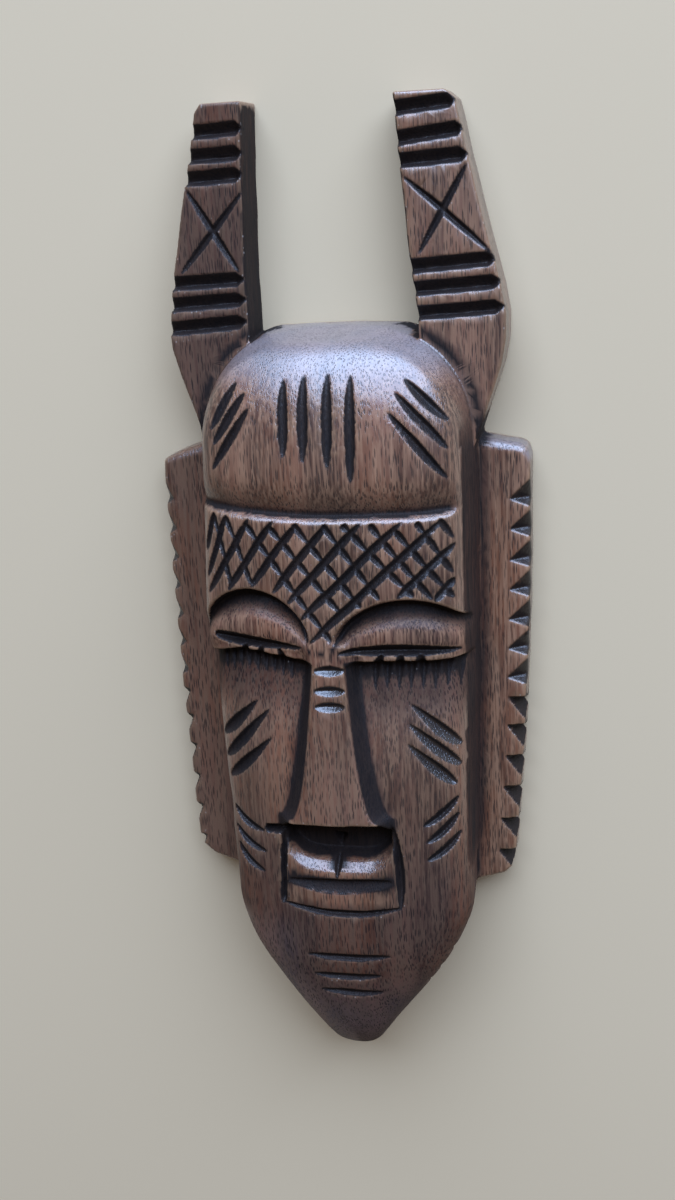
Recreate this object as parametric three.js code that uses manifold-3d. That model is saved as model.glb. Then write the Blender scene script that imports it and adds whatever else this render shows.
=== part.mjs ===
// Horned mask carved from one block of hardwood, lying on its flat back with the face up.
// Units are millimetres. The carving is set out with x across the face, y measured up from
// the chin tip and z measured out from the flat back. The finished mesh is then moved so
// that the part's origin is below the middle of the mask.
import * as THREE from "three";
import { ConvexGeometry } from "three/addons/geometries/ConvexGeometry.js";
import { mergeVertices } from "three/addons/utils/BufferGeometryUtils.js";
import Module from "manifold-3d";

// Driving dimensions of the blank
const LENGTH = 320;
const HALF_SPAN = 60.3;
const JAW_Y = 68;
const CHIN_FULL_HEIGHT_Y = 62;
const CAP_FOOT_Y = 205;
const CAP_TOP_Y = 252.5;
const CENTRE_HEIGHT = 45;
const EDGE_HEIGHT = 30;
const CHIN_TIP_HEIGHT = 19;
const CHIN_TIP_RUN = 6;
const CROWN_TIP_HEIGHT = 12;
const CROWN_ROUNDNESS = 2.9;
const FRONT_ROUNDNESS = 2.6;
const FLANGE_THICKNESS = 12;
const HORN_THICKNESS = 18;

// Levels of the carving, measured up from the chin tip
const NOSE_BASE_Y = 99.3;
const NOSE_TOP_Y = 152;
const NOSE_MIDDLE_X = -0.4;
const NOSE_TIP_HEIGHT = 49.5;
const NOSE_BRIDGE_HEIGHT = 45.2;
const LIP_TOP_Y = 83.5;
const LIP_BEVEL_RUN = 4;
const MOUTH_HALF_WIDTH = 17;
const MOUTH_SIDE_RUN = 1.2;
const MOUTH_MIDDLE_X = 0.3;
const STEP_RUN = 0.8;

// Depths of the carving
const CAP_TUCK = 3.8;
const CAP_TUCK_RUN = 13;
const BAND_BEVEL = 1.2;
const LID_DEPTH = 2.6;
const LID_BULGE = 1.5;
const GOUGE_DEPTH = 6.5;
const UNDER_EYE_DEPTH = 9;
const UNDERCUT_DEPTH = 9;
const LIP_BEVEL_DEPTH = 1.6;
const CLEARANCE = 1.2;

const library = await Module();
library.setup();

const lerp = THREE.MathUtils.lerp;
const clamp = THREE.MathUtils.clamp;
const ease = THREE.MathUtils.smoothstep;
const ramp = (value, from, to) => clamp((value - from) / (to - from), 0, 1);
const rounded = (share, power) => (1 - clamp(share, 0, 1) ** power) ** (1 / power);
const crownShare = (y) => rounded(ramp(y, CAP_FOOT_Y, CAP_TOP_Y), CROWN_ROUNDNESS);

// Half width of the face at the jaw, cheek, temple and crown, for its left and right side, and
// how far the back stands out past the front. At the jaw the walls lean in towards the back.
const SIDES = [
  { y: JAW_Y, left: 38.3, right: 42.3, draft: -1.8 },
  { y: 90, left: 38.9, right: 41.8, draft: 1.4 },
  { y: 165, left: 42.8, right: 42.3, draft: 2.9 },
  { y: 210, left: 40.8, right: 42.3, draft: 3.2 },
];
const CHIN_TIP = { left: 7.5, right: 6, draft: 0.8 };

// Plan of the chin: its sides swell to the jaw from a blunt tip, halfway between a round line
// and an S line
function chinHalfWidth(y, name) {
  const up = ramp(y, 0, JAW_Y);
  const swell = (Math.sin((Math.PI / 2) * up) + ease(up, 0, 1)) / 2;
  const tip = rounded(1 - ramp(y, 0, CHIN_TIP_RUN), 2);
  return lerp(CHIN_TIP[name], SIDES[0][name], swell) * tip;
}

// A value of SIDES at a level from the jaw up, blended between the two levels around it
function alongSides(y, name) {
  const below = SIDES.findLast((level) => level.y <= y);
  const above = SIDES.find((level) => level.y > y) ?? below;
  return lerp(below[name], above[name], ease(y, below.y, above.y));
}

function frontHalfWidth(y, side) {
  const name = side < 0 ? "left" : "right";
  if (y < JAW_Y) return chinHalfWidth(y, name);
  return crownShare(y) * alongSides(y, name);
}

function baseHalfWidth(y, side) {
  const chin = lerp(CHIN_TIP.draft, SIDES[0].draft, ramp(y, 0, JAW_Y));
  const draft = y < JAW_Y ? chin : alongSides(y, "draft") * Math.sqrt(crownShare(y));
  return frontHalfWidth(y, side) + draft;
}

// Height of the face's middle line and of its side edges before any carving
function middleHeight(y) {
  if (y < CHIN_FULL_HEIGHT_Y) {
    const drop = (1 - clamp(y, 0, CHIN_FULL_HEIGHT_Y) / CHIN_FULL_HEIGHT_Y) ** 2;
    return CHIN_TIP_HEIGHT + (CENTRE_HEIGHT - 2 - CHIN_TIP_HEIGHT) * (1 - drop) ** 0.62;
  }
  if (y < CAP_FOOT_Y) return lerp(CENTRE_HEIGHT - 2, CENTRE_HEIGHT, ramp(y, CHIN_FULL_HEIGHT_Y, 150));
  return lerp(CROWN_TIP_HEIGHT, CENTRE_HEIGHT, crownShare(y));
}

function sideHeight(y) {
  if (y < JAW_Y) return lerp(CHIN_TIP_HEIGHT - 2, EDGE_HEIGHT - 1, rounded(1 - y / JAW_Y, 2));
  const edge = lerp(EDGE_HEIGHT - 1, EDGE_HEIGHT, ramp(y, JAW_Y, 150));
  return lerp(CROWN_TIP_HEIGHT - 2, edge, crownShare(y));
}

function blankHeight(x, y) {
  const share = Math.abs(x) / Math.max(frontHalfWidth(y, x), 0.1);
  return lerp(sideHeight(y), middleHeight(y), rounded(share, FRONT_ROUNDNESS));
}

// Lines drawn across the face, each as a height y for a place x
const capLine = (x) => 198.2 - 0.02 * x + 0.0012 * x * x;
const leftStep = (x) => Math.min(150.3 - 0.15 * x, 154.6 + 0.25 * (x + 30));
const rightStep = (x) => Math.min(150.4 + 0.09 * x, 151.4);
const stepLine = (x) => (x < 0 ? leftStep(x) : rightStep(x));
const lipLine = (x) => LIP_TOP_Y + 7 * Math.min(Math.abs(x / MOUTH_HALF_WIDTH) ** 4, 1);

function arch(x, centre, foot, halfWidth, rise) {
  return foot + rise * Math.sqrt(Math.max(0, 1 - ((x - centre) / halfWidth) ** 2));
}

function browLine(x) {
  const left = arch(x, -24.5, 156, 18.2, 18.8);
  const right = arch(x, 24, 152.5, 23, 19.3);
  return Math.max(x < -1 ? left : right, stepLine(x) + 4);
}

// The nose widens quickly below the bridge, and its sides slope a few millimetres outwards
const noseShare = (y) => ramp(y, NOSE_BASE_Y, NOSE_TOP_Y);
const noseHalfWidth = (y) => lerp(14.2, 4.9, noseShare(y) ** 0.42);
const noseFootHalfWidth = (y) => noseHalfWidth(y) + lerp(4.2, 3, noseShare(y));

// The groove at the foot of the cap ends a little before the right edge of the face
const capTuck = (x, y) => CAP_TUCK * (x < 0 ? 1 : ramp(frontHalfWidth(y, x) - x, 1, 4.5));

// Depth of the broad carving below the blank, before the nose is left standing
function broadDepth(x, y) {
  const cap = capLine(x);
  const brow = browLine(x);
  const step = stepLine(x);
  if (y >= cap) return capTuck(x, y) * (1 - ramp(y, cap, cap + CAP_TUCK_RUN)) ** 2;
  if (y >= brow) return capTuck(x, y) * ramp(y, cap - BAND_BEVEL, cap);
  if (y >= step) {
    const share = (y - step) / (brow - step);
    const strength = ease(brow - step, 4, 12);
    const lid = LID_DEPTH - LID_BULGE * Math.sin(Math.PI * ramp(share, 0.12, 0.74));
    const gouge = (GOUGE_DEPTH - LID_DEPTH) * ease(share, 0.55, 0.95);
    return (lid + gouge) * strength * ramp(y, brow, brow - STEP_RUN);
  }
  const fade = (1 - ramp(y, step, NOSE_BASE_Y)) ** 2.2;
  return UNDER_EYE_DEPTH * fade * ramp(y, step, step - STEP_RUN);
}

// The nose is a wedge with a flat front, and its sides fall to the face around it
function withNose(x, y, around) {
  if (y < NOSE_BASE_Y || y > NOSE_TOP_Y + 6) return around;
  const away = Math.abs(x - NOSE_MIDDLE_X);
  const fall = ramp(away, noseHalfWidth(y), noseFootHalfWidth(y));
  const ridge = lerp(NOSE_TIP_HEIGHT, NOSE_BRIDGE_HEIGHT, noseShare(y));
  const front = ridge - 0.5 * (away / 14) ** 2;
  return Math.max(around, lerp(front, around, fall));
}

// Undercut between nose and lip, and the small bevel along the top of the lip
function mouthDepth(x, y) {
  const away = Math.abs(x - MOUTH_MIDDLE_X);
  const inside = ramp(away, MOUTH_HALF_WIDTH + MOUTH_SIDE_RUN, MOUTH_HALF_WIDTH);
  const lip = lipLine(x);
  if (y >= lip && y < NOSE_BASE_Y) {
    const ends = ramp(y, lip, lip + STEP_RUN) * ramp(y, NOSE_BASE_Y, NOSE_BASE_Y - STEP_RUN);
    return UNDERCUT_DEPTH * inside * ends;
  }
  const bevel = lip - LIP_BEVEL_RUN;
  if (y >= bevel && y < lip) return LIP_BEVEL_DEPTH * inside * ramp(y, bevel, lip);
  return 0;
}

// Height of the carved front, without the narrow knife cuts
function frontHeight(x, y) {
  const carved = blankHeight(x, y) - broadDepth(x, y) - mouthDepth(x, y);
  return withNose(x, y, carved);
}

// Rows of the front run along the carving's own lines, and a step has a row on each side of it
const FIRST_ROW_Y = 1;
const LAST_ROW_Y = CAP_TOP_Y - 0.6;
const CHIN_ROWS = 14;

function spaced(count, from, to, bend = 1) {
  return Array.from({ length: count }, (_, i) => lerp(from, to, ((i + 1) / (count + 1)) ** bend));
}

function chinRows(lipFoot) {
  const levelFoot = LIP_TOP_Y - LIP_BEVEL_RUN;
  return Array.from({ length: CHIN_ROWS }, (_, i) => {
    const y = FIRST_ROW_Y + (levelFoot - FIRST_ROW_Y) * (i / CHIN_ROWS) ** 1.35;
    return y * lerp(1, lipFoot / levelFoot, ramp(y, 40, LIP_TOP_Y));
  });
}

function rowHeights(x) {
  const lip = lipLine(x);
  const step = stepLine(x);
  const brow = browLine(x);
  const cap = capLine(x);
  return [
    ...chinRows(lip - LIP_BEVEL_RUN),
    lip - LIP_BEVEL_RUN,
    lip,
    lip + STEP_RUN,
    ...spaced(1, lip + STEP_RUN, NOSE_BASE_Y - STEP_RUN),
    NOSE_BASE_Y - STEP_RUN,
    NOSE_BASE_Y,
    ...spaced(8, NOSE_BASE_Y, step - STEP_RUN),
    step - STEP_RUN,
    step,
    ...spaced(6, step, brow - STEP_RUN),
    brow - STEP_RUN,
    brow,
    ...spaced(3, brow, cap - BAND_BEVEL),
    cap - BAND_BEVEL,
    cap,
    cap + 2.5,
    cap + 6,
    cap + 12,
    ...spaced(8, cap + 12, CAP_TOP_Y - 0.6, 0.62),
    LAST_ROW_Y,
  ];
}

// Columns follow the nose and the mouth, then spread to the side edges, closer near the edge
const CHEEK_COLUMNS = 8;
const NOSE_COLUMNS = 3;
const HALF_COLUMNS = NOSE_COLUMNS + 1 + CHEEK_COLUMNS;
const COLUMNS = 2 * HALF_COLUMNS + 1;

function columnGuides(y) {
  if (y < NOSE_BASE_Y) {
    return { ridge: MOUTH_HALF_WIDTH, foot: MOUTH_HALF_WIDTH + MOUTH_SIDE_RUN, middle: MOUTH_MIDDLE_X };
  }
  const above = ramp(y, NOSE_TOP_Y, CAP_FOOT_Y);
  return {
    ridge: lerp(noseHalfWidth(y), 10, above),
    foot: lerp(noseFootHalfWidth(y), 18, above),
    middle: NOSE_MIDDLE_X,
  };
}

function columnPlace(y, column) {
  const { ridge, foot, middle } = columnGuides(y);
  const count = column - HALF_COLUMNS;
  if (count === 0) return middle;
  const side = Math.sign(count);
  const step = Math.abs(count);
  const edge = frontHalfWidth(y, side);
  const squeeze = Math.min(1, (0.62 * edge) / foot);
  if (step <= NOSE_COLUMNS) return middle + (side * squeeze * ridge * step) / NOSE_COLUMNS;
  const share = (step - NOSE_COLUMNS - 1) / CHEEK_COLUMNS;
  const spread = 0.7 * Math.sin((Math.PI / 2) * share) + 0.3 * share;
  return side * lerp(squeeze * foot, edge, spread) + middle * (1 - share);
}

// Grid point where a column and a row meet, found in a few passes because each bends the other
function gridPoint(column, row) {
  let x = 0;
  let y = rowHeights(x)[row];
  for (let pass = 0; pass < 6; pass++) {
    x = columnPlace(y, column);
    y = rowHeights(x)[row];
  }
  return [x, y, frontHeight(x, y)];
}

// Each cell of the front is split along its flatter diagonal
function frontFaces(positions, rows) {
  const faces = [];
  const at = (column, row) => row * COLUMNS + column;
  const gap = (m, n) => Math.abs(positions[3 * m + 2] - positions[3 * n + 2]);
  for (let row = 0; row + 1 < rows; row++) {
    for (let column = 0; column + 1 < COLUMNS; column++) {
      const a = at(column, row);
      const b = at(column + 1, row);
      const c = at(column + 1, row + 1);
      const d = at(column, row + 1);
      if (gap(a, c) <= gap(b, d)) faces.push(a, b, c, a, c, d);
      else faces.push(a, b, d, b, c, d);
    }
  }
  return faces;
}

function rimOf(rows) {
  const rim = [];
  for (let column = 0; column < COLUMNS; column++) rim.push(column);
  for (let row = 1; row < rows; row++) rim.push(row * COLUMNS + COLUMNS - 1);
  for (let column = COLUMNS - 2; column >= 0; column--) rim.push((rows - 1) * COLUMNS + column);
  for (let row = rows - 2; row > 0; row--) rim.push(row * COLUMNS);
  return rim;
}

// The rim's point on the flat back, a little further out because the side walls are drafted
function backPoint(x, y) {
  const grow = baseHalfWidth(y, x) / frontHalfWidth(y, x);
  if (y < 2 * FIRST_ROW_Y) return [x * grow, y - FIRST_ROW_Y, 0];
  if (y > CAP_TOP_Y - 1) return [x * grow, CAP_TOP_Y, 0];
  return [x * grow, y, 0];
}

// Closed mesh of the face: carved front, drafted sides and flat back
function faceGeometry() {
  const rows = rowHeights(0).length;
  const positions = [];
  for (let row = 0; row < rows; row++) {
    for (let column = 0; column < COLUMNS; column++) positions.push(...gridPoint(column, row));
  }
  const index = frontFaces(positions, rows);
  const rim = rimOf(rows);
  const firstBack = positions.length / 3;
  for (const n of rim) positions.push(...backPoint(positions[3 * n], positions[3 * n + 1]));
  const centre = positions.length / 3;
  positions.push(0, 140, 0);
  rim.forEach((n, k) => {
    const next = (k + 1) % rim.length;
    index.push(n, firstBack + k, rim[next], rim[next], firstBack + k, firstBack + next);
    index.push(firstBack + k, centre, firstBack + next);
  });
  return bufferGeometry(positions, index);
}

function bufferGeometry(positions, index) {
  const geometry = new THREE.BufferGeometry();
  geometry.setAttribute("position", new THREE.Float32BufferAttribute(positions, 3));
  geometry.setIndex(index);
  return geometry;
}

// A three.js geometry as a solid, and back again
function solid(geometry) {
  const bare = geometry.clone();
  bare.deleteAttribute("normal");
  bare.deleteAttribute("uv");
  const merged = mergeVertices(bare, 1e-4);
  const vertProperties = new Float32Array(merged.attributes.position.array);
  const triVerts = new Uint32Array(merged.index.array);
  return new library.Manifold(new library.Mesh({ numProp: 3, vertProperties, triVerts }));
}

function geometryOf(body) {
  const mesh = body.getMesh();
  const geometry = new THREE.BufferGeometry();
  geometry.setAttribute("position", new THREE.BufferAttribute(mesh.vertProperties, 3));
  geometry.setIndex(new THREE.BufferAttribute(mesh.triVerts, 1));
  return geometry;
}

function slab(points, thickness) {
  const shape = new THREE.Shape(points.map(([x, y]) => new THREE.Vector2(x, y)));
  return solid(new THREE.ExtrudeGeometry(shape, { depth: thickness, bevelEnabled: false }));
}

function hull(points) {
  return solid(new ConvexGeometry(points.map(([x, y, z]) => new THREE.Vector3(x, y, z))));
}

// Side flanges: the left one keeps its width, the right one draws in towards the jaw
const FLANGE_TOP_Y = 214;
const FLANGE_FOOT_Y = 72;
const FLANGE_ROOT_X = 35;
const FLANGES = [
  {
    side: -1,
    drawnIn: 2.6,
    foot: [[-39, 62.5], [-52.8, 67.4], [-57.2, 71.6]],
    head: [[-59.2, 210.8], [-54, 213], [-43, 216.6]],
    upperInset: 2.4,
    lowerInset: 2.4,
    lowerBack: 4,
  },
  {
    side: 1,
    drawnIn: 5.9,
    foot: [[39, 62.5], [50.6, 66], [53.6, 69]],
    head: [[59.4, 213.2], [57.5, 214.4], [44, 217]],
    upperInset: 6.2,
    lowerInset: 5.4,
    lowerBack: -1,
  },
];

function flangeEdge(y, { side, drawnIn }) {
  const up = ramp(y, FLANGE_FOOT_Y, FLANGE_TOP_Y);
  return side * (HALF_SPAN - drawnIn * (1 - up) ** 2.3);
}

function flange(shape) {
  const root = shape.side * FLANGE_ROOT_X;
  const outer = [];
  for (let i = 0; i <= 8; i++) {
    const y = lerp(FLANGE_FOOT_Y + 2, FLANGE_TOP_Y - 4, i / 8);
    outer.push([flangeEdge(y, shape), y]);
  }
  const points = [[root, 60], ...shape.foot, ...outer, ...shape.head, [root, 217.5]];
  if (shape.side < 0) points.reverse();
  return slab(points, FLANGE_THICKNESS);
}

// Horns: one flat slab each, waisted where it meets the cap
const LEFT_HORN = {
  outer: [
    [-43.6, 214], [-44.8, 222.6], [-47.3, 230.7], [-50, 238.7], [-52, 246.5], [-52.3, 252.5],
    [-50.8, 264], [-46, 287.8], [-41.2, 308.2], [-39.4, 317.5], [-37.4, LENGTH],
  ],
  inner: [[-24.8, LENGTH], [-25.6, 300], [-26.6, 268], [-26.5, 250], [-25, 214]],
};
const RIGHT_HORN = {
  outer: [
    [43, 213], [46, 221.6], [49.6, 232], [52.3, 240], [53.9, 248], [54, 255],
    [52.5, 263.6], [48, 281], [43.2, 300.5], [41, 311], [39.4, 317.5], [36.5, LENGTH],
  ],
  inner: [[21.4, LENGTH], [22.8, 298], [25.4, 270], [27.3, 252.5], [27, 214]],
};

function horn({ outer, inner }) {
  const points = [...outer, ...inner];
  if (outer[0][0] < 0) points.reverse();
  return slab(points, HORN_THICKNESS);
}

// How deep a cut runs along its length: bowed like a spindle, blunt at its start or like a
// club at its end, even, running out at its end, or opening towards it
const PROFILES = {
  spindle: (share) => Math.sqrt(Math.sin(Math.PI * share)),
  blunt: (share) => Math.sqrt(Math.sin(Math.PI * share ** 0.7)),
  club: (share) => Math.sqrt(Math.max(0, Math.sin(Math.PI * share ** 1.6))),
  even: () => 1,
  runsOut: (share) => Math.min(1, 8 * (1 - share)),
  opens: (share) => lerp(0.4, 1, share),
};

// A knife cut: a V prism whose keel dips below the surface. The angle of the V stays the
// same, so the cut is widest where it is deepest. Sag bends the cut to its left, and lean
// moves its keel to the left, so that one wall is steeper than the other.
function knifeCut(cut) {
  const { from, to, width, depth, sag = 0, lean = 0, stations = 4 } = cut;
  const { profile = "spindle", heightAt = frontHeight } = cut;
  const along = new THREE.Vector2(to[0] - from[0], to[1] - from[1]);
  const across = new THREE.Vector2(-along.y, along.x).normalize();
  const slope = width / 2 / depth;
  const positions = [];
  const index = [];
  for (let i = 0; i <= stations; i++) {
    const share = i / stations;
    const bow = 4 * share * (1 - share) * sag;
    const x = lerp(from[0], to[0], share) + across.x * bow;
    const y = lerp(from[1], to[1], share) + across.y * bow;
    const dip = depth * PROFILES[profile](share);
    const surface = heightAt(x, y);
    const reach = slope * (dip + CLEARANCE);
    const top = surface + CLEARANCE;
    const keel = (lean * dip) / depth;
    positions.push(x + across.x * reach, y + across.y * reach, top);
    positions.push(x - across.x * reach, y - across.y * reach, top);
    positions.push(x + across.x * keel, y + across.y * keel, surface - dip);
    if (i === 0) continue;
    const a = 3 * (i - 1);
    const b = 3 * i;
    for (const [p, q] of [[0, 1], [1, 2], [2, 0]]) index.push(a + p, a + q, b + q, a + p, b + q, b + p);
  }
  const last = 3 * stations;
  index.push(0, 2, 1, last, last + 1, last + 2);
  return solid(bufferGeometry(positions, index));
}

// Straight cuts of the cap, cheeks and jaw: where each starts and ends, and how far it bends
const CAP_GOUGES = [
  [[-10.7, 239.6], [-10.8, 216.6]],
  [[-4.6, 241], [-4.7, 215]],
  [[2.7, 241.4], [2.6, 213.4]],
  [[9.6, 240.8], [9.5, 209]],
];
const CAP_SLANTS = [
  [[-26, 239], [-34.6, 224.5]],
  [[-23, 236], [-34, 220]],
  [[-21.6, 231.5], [-34.8, 212.4]],
  [[25.4, 239], [38.2, 226]],
  [[22.7, 235.3], [38.2, 218]],
  [[20.8, 229.6], [38, 209]],
];
const CHEEK_SLANTS = [
  [[-24.6, 137.4], [-38.6, 123.6]],
  [[-20.6, 135], [-37.8, 116]],
  [[-20, 125.6], [-36.6, 109.4]],
  [[23.8, 137.6], [40, 122.6]],
  [[23.2, 131.6], [39.6, 116]],
  [[23, 125], [38.2, 109.8]],
];
const JAW_SLANTS = [
  [[-36, 99.4], [-25, 92], -1.6],
  [[-35.6, 92.2], [-24.8, 84.7], -1.6],
  [[-35.2, 85.9], [-25.7, 77], -1.6],
  [[38.8, 105.7], [27.6, 96], 0.8],
  [[38.8, 99.8], [28.3, 90.2], 0.8],
  [[39.2, 93.2], [28.4, 83.7], 0.8],
];
const CHIN_BARS = [
  [[-13.2, 47.4], [15.6, 48], -0.8],
  [[-11.4, 39.4], [12, 40], -0.8],
  [[-9.6, 32.6], [12.2, 33.2], -0.8],
];
const NOSE_NOTCHES = [
  [[-5, 149.3], [5, 149.5]],
  [[-5, 142.9], [5, 143.1]],
  [[-5, 137.8], [5, 138]],
];

function cutsAlong(lines, settings) {
  return lines.map(([from, to, sag = 0]) => knifeCut({ from, to, sag, ...settings }));
}

function capCuts() {
  return [
    ...cutsAlong(CAP_GOUGES, { width: 3.2, depth: 1.4, stations: 5 }),
    ...cutsAlong(CAP_SLANTS, { width: 2.4, depth: 1.6 }),
  ];
}

function cheekCuts() {
  return [
    ...cutsAlong(CHEEK_SLANTS, { width: 3.5, depth: 2, profile: "club" }),
    ...cutsAlong(JAW_SLANTS, { width: 2.2, depth: 1.4 }),
    ...cutsAlong(CHIN_BARS, { width: 3, depth: 1.5 }),
    ...cutsAlong(NOSE_NOTCHES, { width: 2.4, depth: 1.4, stations: 3 }),
  ];
}

// Mouth: a channel on each side, the arc under the lower lip, the slit, the notch in the
// upper lip, and a small nick beside the left nostril
function mouthCuts() {
  const channel = { width: 2.4, depth: 2.6, profile: "even", stations: 3 };
  const slit = { width: 5.4, depth: 3.6, sag: -2.2, lean: 1, stations: 6 };
  const lipFront = () => middleHeight(LIP_TOP_Y) - 0.6;
  return [
    knifeCut({ from: [-18.4, 90], to: [-20, 65.5], ...channel }),
    knifeCut({ from: [19.2, 90], to: [19, 66], ...channel }),
    knifeCut({ from: [-20, 66.8], to: [20.4, 67], width: 3, depth: 2, sag: -3, stations: 6 }),
    knifeCut({ from: [-17.6, 75.6], to: [17.2, 77], ...slit }),
    knifeCut({ from: [-0.6, 90], to: [-0.8, 77.8], width: 3.4, depth: 2.6, stations: 3, heightAt: lipFront }),
    knifeCut({ from: [-23.6, 94.2], to: [-15, 95.4], width: 1.5, depth: 1.5, stations: 2 }),
  ];
}

// Eyes: the slit across each lid, three nicks in the rim below it, and the row of pointed
// lashes below the step. Each nick is its place on the slit, its place on the step and its width.
const EYES = [
  {
    slit: { from: [-38, 158.7], to: [-8.4, 156.3], width: 3.6, profile: "blunt" },
    nicks: [[-27.7, -28, 2], [-22.4, -22.7, 2], [-16.4, -15.1, 2.2]],
    lashes: { count: 9, first: -36.4, last: -13.6, length: 7.6, width: 2.2 },
  },
  {
    slit: { from: [3, 155], to: [40.6, 154.7], width: 3.5, sag: 0.8 },
    nicks: [[16.4, 15.2, 2.6], [22.1, 21.9, 2.6], [28.2, 28.3, 3.4]],
    lashes: { count: 8, first: 13.4, last: 39.6, length: 9.6, width: 2.8 },
  },
];

function lidNick([top, foot, width]) {
  const rim = stepLine(foot);
  const line = { from: [top, rim + 2.4], to: [foot, rim - STEP_RUN], stations: 1 };
  const heightAt = () => frontHeight(foot, rim);
  return knifeCut({ ...line, width, depth: 2, profile: "opens", heightAt });
}

function lashCuts({ count, first, last, length, width }) {
  return Array.from({ length: count }, (_, i) => {
    const x = lerp(first, last, i / (count - 1));
    const top = stepLine(x) - STEP_RUN;
    const line = { from: [x, top], to: [x, top - length] };
    return knifeCut({ ...line, width, depth: 1.6, stations: 1, profile: "runsOut" });
  });
}

function eyeCuts() {
  return EYES.flatMap(({ slit, nicks, lashes }) => [
    knifeCut({ ...slit, depth: 3, stations: 5 }),
    ...nicks.map(lidNick),
    ...lashCuts(lashes),
  ]);
}

// Three small nicks in the right edge of the jaw
const JAW_NICKS = [46.7, 39.8, 34.4];

function jawNicks() {
  return JAW_NICKS.map((y) => {
    const edge = frontHalfWidth(y, 1);
    const line = { from: [edge - 2.6, y + 1.4], to: [edge + 1.2, y - 0.6], stations: 1 };
    const heightAt = () => sideHeight(y);
    return knifeCut({ ...line, width: 2.6, depth: 2.4, profile: "opens", heightAt });
  });
}

// Lattice: two families of straight cuts between the cap line and the brows. Each cut has
// its place at the top of the band and how far it leans sideways for each step down.
const LATTICE_TOP_Y = 196;
const LATTICE_HALF_WIDTH = 39.5;
const LATTICE = [
  {
    side: -1,
    width: 2,
    depth: 1.2,
    places: [
      [-36.1, 0.34], [-31.8, 0.42], [-24.2, 0.65], [-16.3, 0.72], [-8.2, 0.78], [1.3, 0.83],
      [11.3, 0.94], [23.5, 1.05], [35, 1.08], [46.6, 1.06], [55.6, 0.91],
    ],
  },
  {
    side: 1,
    width: 1.4,
    depth: 0.9,
    places: [
      [-34.8, 0.22], [-30.1, 0.35], [-24, 0.68], [-17, 0.78], [-8.5, 0.75], [0.5, 0.7],
      [6.7, 0.9], [14.8, 0.75], [21, 0.75], [29, 0.62], [36, 0.6],
    ],
  },
];

function latticeCuts() {
  const cuts = [];
  for (const { side, width, depth, places } of LATTICE) {
    for (const [x, lean] of places) {
      const at = (y) => x + side * lean * (LATTICE_TOP_Y - y);
      const inBand = (y) => y > browLine(at(y)) + 1.5 && Math.abs(at(y)) < LATTICE_HALF_WIDTH;
      let head = capLine(x) - BAND_BEVEL - 0.4;
      while (at(head) > LATTICE_HALF_WIDTH - 0.5) head -= 0.5;
      let foot = head;
      while (inBand(foot)) foot -= 0.5;
      if (head - foot < 4) continue;
      const line = { from: [at(head), head], to: [at(foot), foot] };
      cuts.push(knifeCut({ ...line, width, depth, stations: 3, profile: "even" }));
    }
  }
  return cuts;
}

// Horns: six bars each, as left end, right end, height and rise, and a cross in between.
// The bars run out at the right edge of each horn.
const HORN_BARS = [
  [-42, -24.6, 311.8, 0.6],
  [-43, -25, 304.8, 0.4],
  [-45, -25.2, 298.2, 1],
  [-51, -26.6, 267, 1],
  [-53, -26.4, 260.4, 1.4],
  [-53.5, -26.6, 253.2, 1.8],
  [20.6, 40, 315.4, 1.6],
  [21.4, 42.4, 306.8, 2.2],
  [22, 43.6, 300.6, 1],
  [25, 52, 270, 1.8],
  [25.6, 53.4, 263.4, 1.6],
  [26.4, 54, 256, 1.6],
];
const HORN_CROSSES = [
  [[-43.8, 295.4], [-28, 269.3]],
  [[-25.6, 294.2], [-47.6, 269.3]],
  [[23.4, 296.4], [50, 273.2]],
  [[43, 299.2], [27.6, 273]],
];

function hornCuts() {
  const heightAt = () => HORN_THICKNESS;
  const bars = HORN_BARS.map(([left, right, y, rise]) => [[left, y], [right, y + rise]]);
  return [
    ...cutsAlong(bars, { width: 3.8, depth: 2.4, lean: -0.7, stations: 3, profile: "runsOut", heightAt }),
    ...cutsAlong(HORN_CROSSES, { width: 1.8, depth: 1.4, heightAt }),
  ];
}

// Chips along the outer edge of each flange: the upper ones slope down to their tips,
// the lower ones are turned over, and on the right they cut through the whole edge
const UPPER_CHIPS = 7;
const LOWER_CHIPS = 6;
const CHIP_TOP = FLANGE_THICKNESS + 1;
const raised = (points, z) => points.map(([x, y]) => [x, y, z]);

function chip(rim, keel, keelLevel) {
  return hull([...raised(rim, FLANGE_THICKNESS), ...raised(rim, CHIP_TOP), ...raised(keel, keelLevel)]);
}

function upperChip(y, shape) {
  const edge = flangeEdge(y, shape);
  const tip = edge - shape.side * shape.upperInset;
  const out = edge + shape.side;
  const rim = [[tip, y], [out, y + 6.6], [out, y - 2.2]];
  return chip(rim, [[out, y + 2.2]], FLANGE_THICKNESS - 5);
}

function lowerChip(y, shape) {
  const edge = flangeEdge(y, shape);
  const tip = edge - shape.side * shape.lowerInset;
  const out = edge + shape.side * 1.2;
  const rim = [[tip, y], [out, y + 0.5], [out, y - 9]];
  const keel = [[edge - shape.side * 1.5, y - 5.2], [out, y - 4.4], [out, y - 7]];
  return chip(rim, keel, shape.lowerBack);
}

function flangeChips() {
  const chips = [];
  for (const shape of FLANGES) {
    for (let i = 0; i < UPPER_CHIPS; i++) {
      chips.push(upperChip(lerp(197, 137, i / (UPPER_CHIPS - 1)), shape));
    }
    for (let i = 0; i < LOWER_CHIPS; i++) {
      chips.push(lowerChip(lerp(130, 74.5, (i / (LOWER_CHIPS - 1)) ** 1.08), shape));
    }
  }
  return chips;
}

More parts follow.
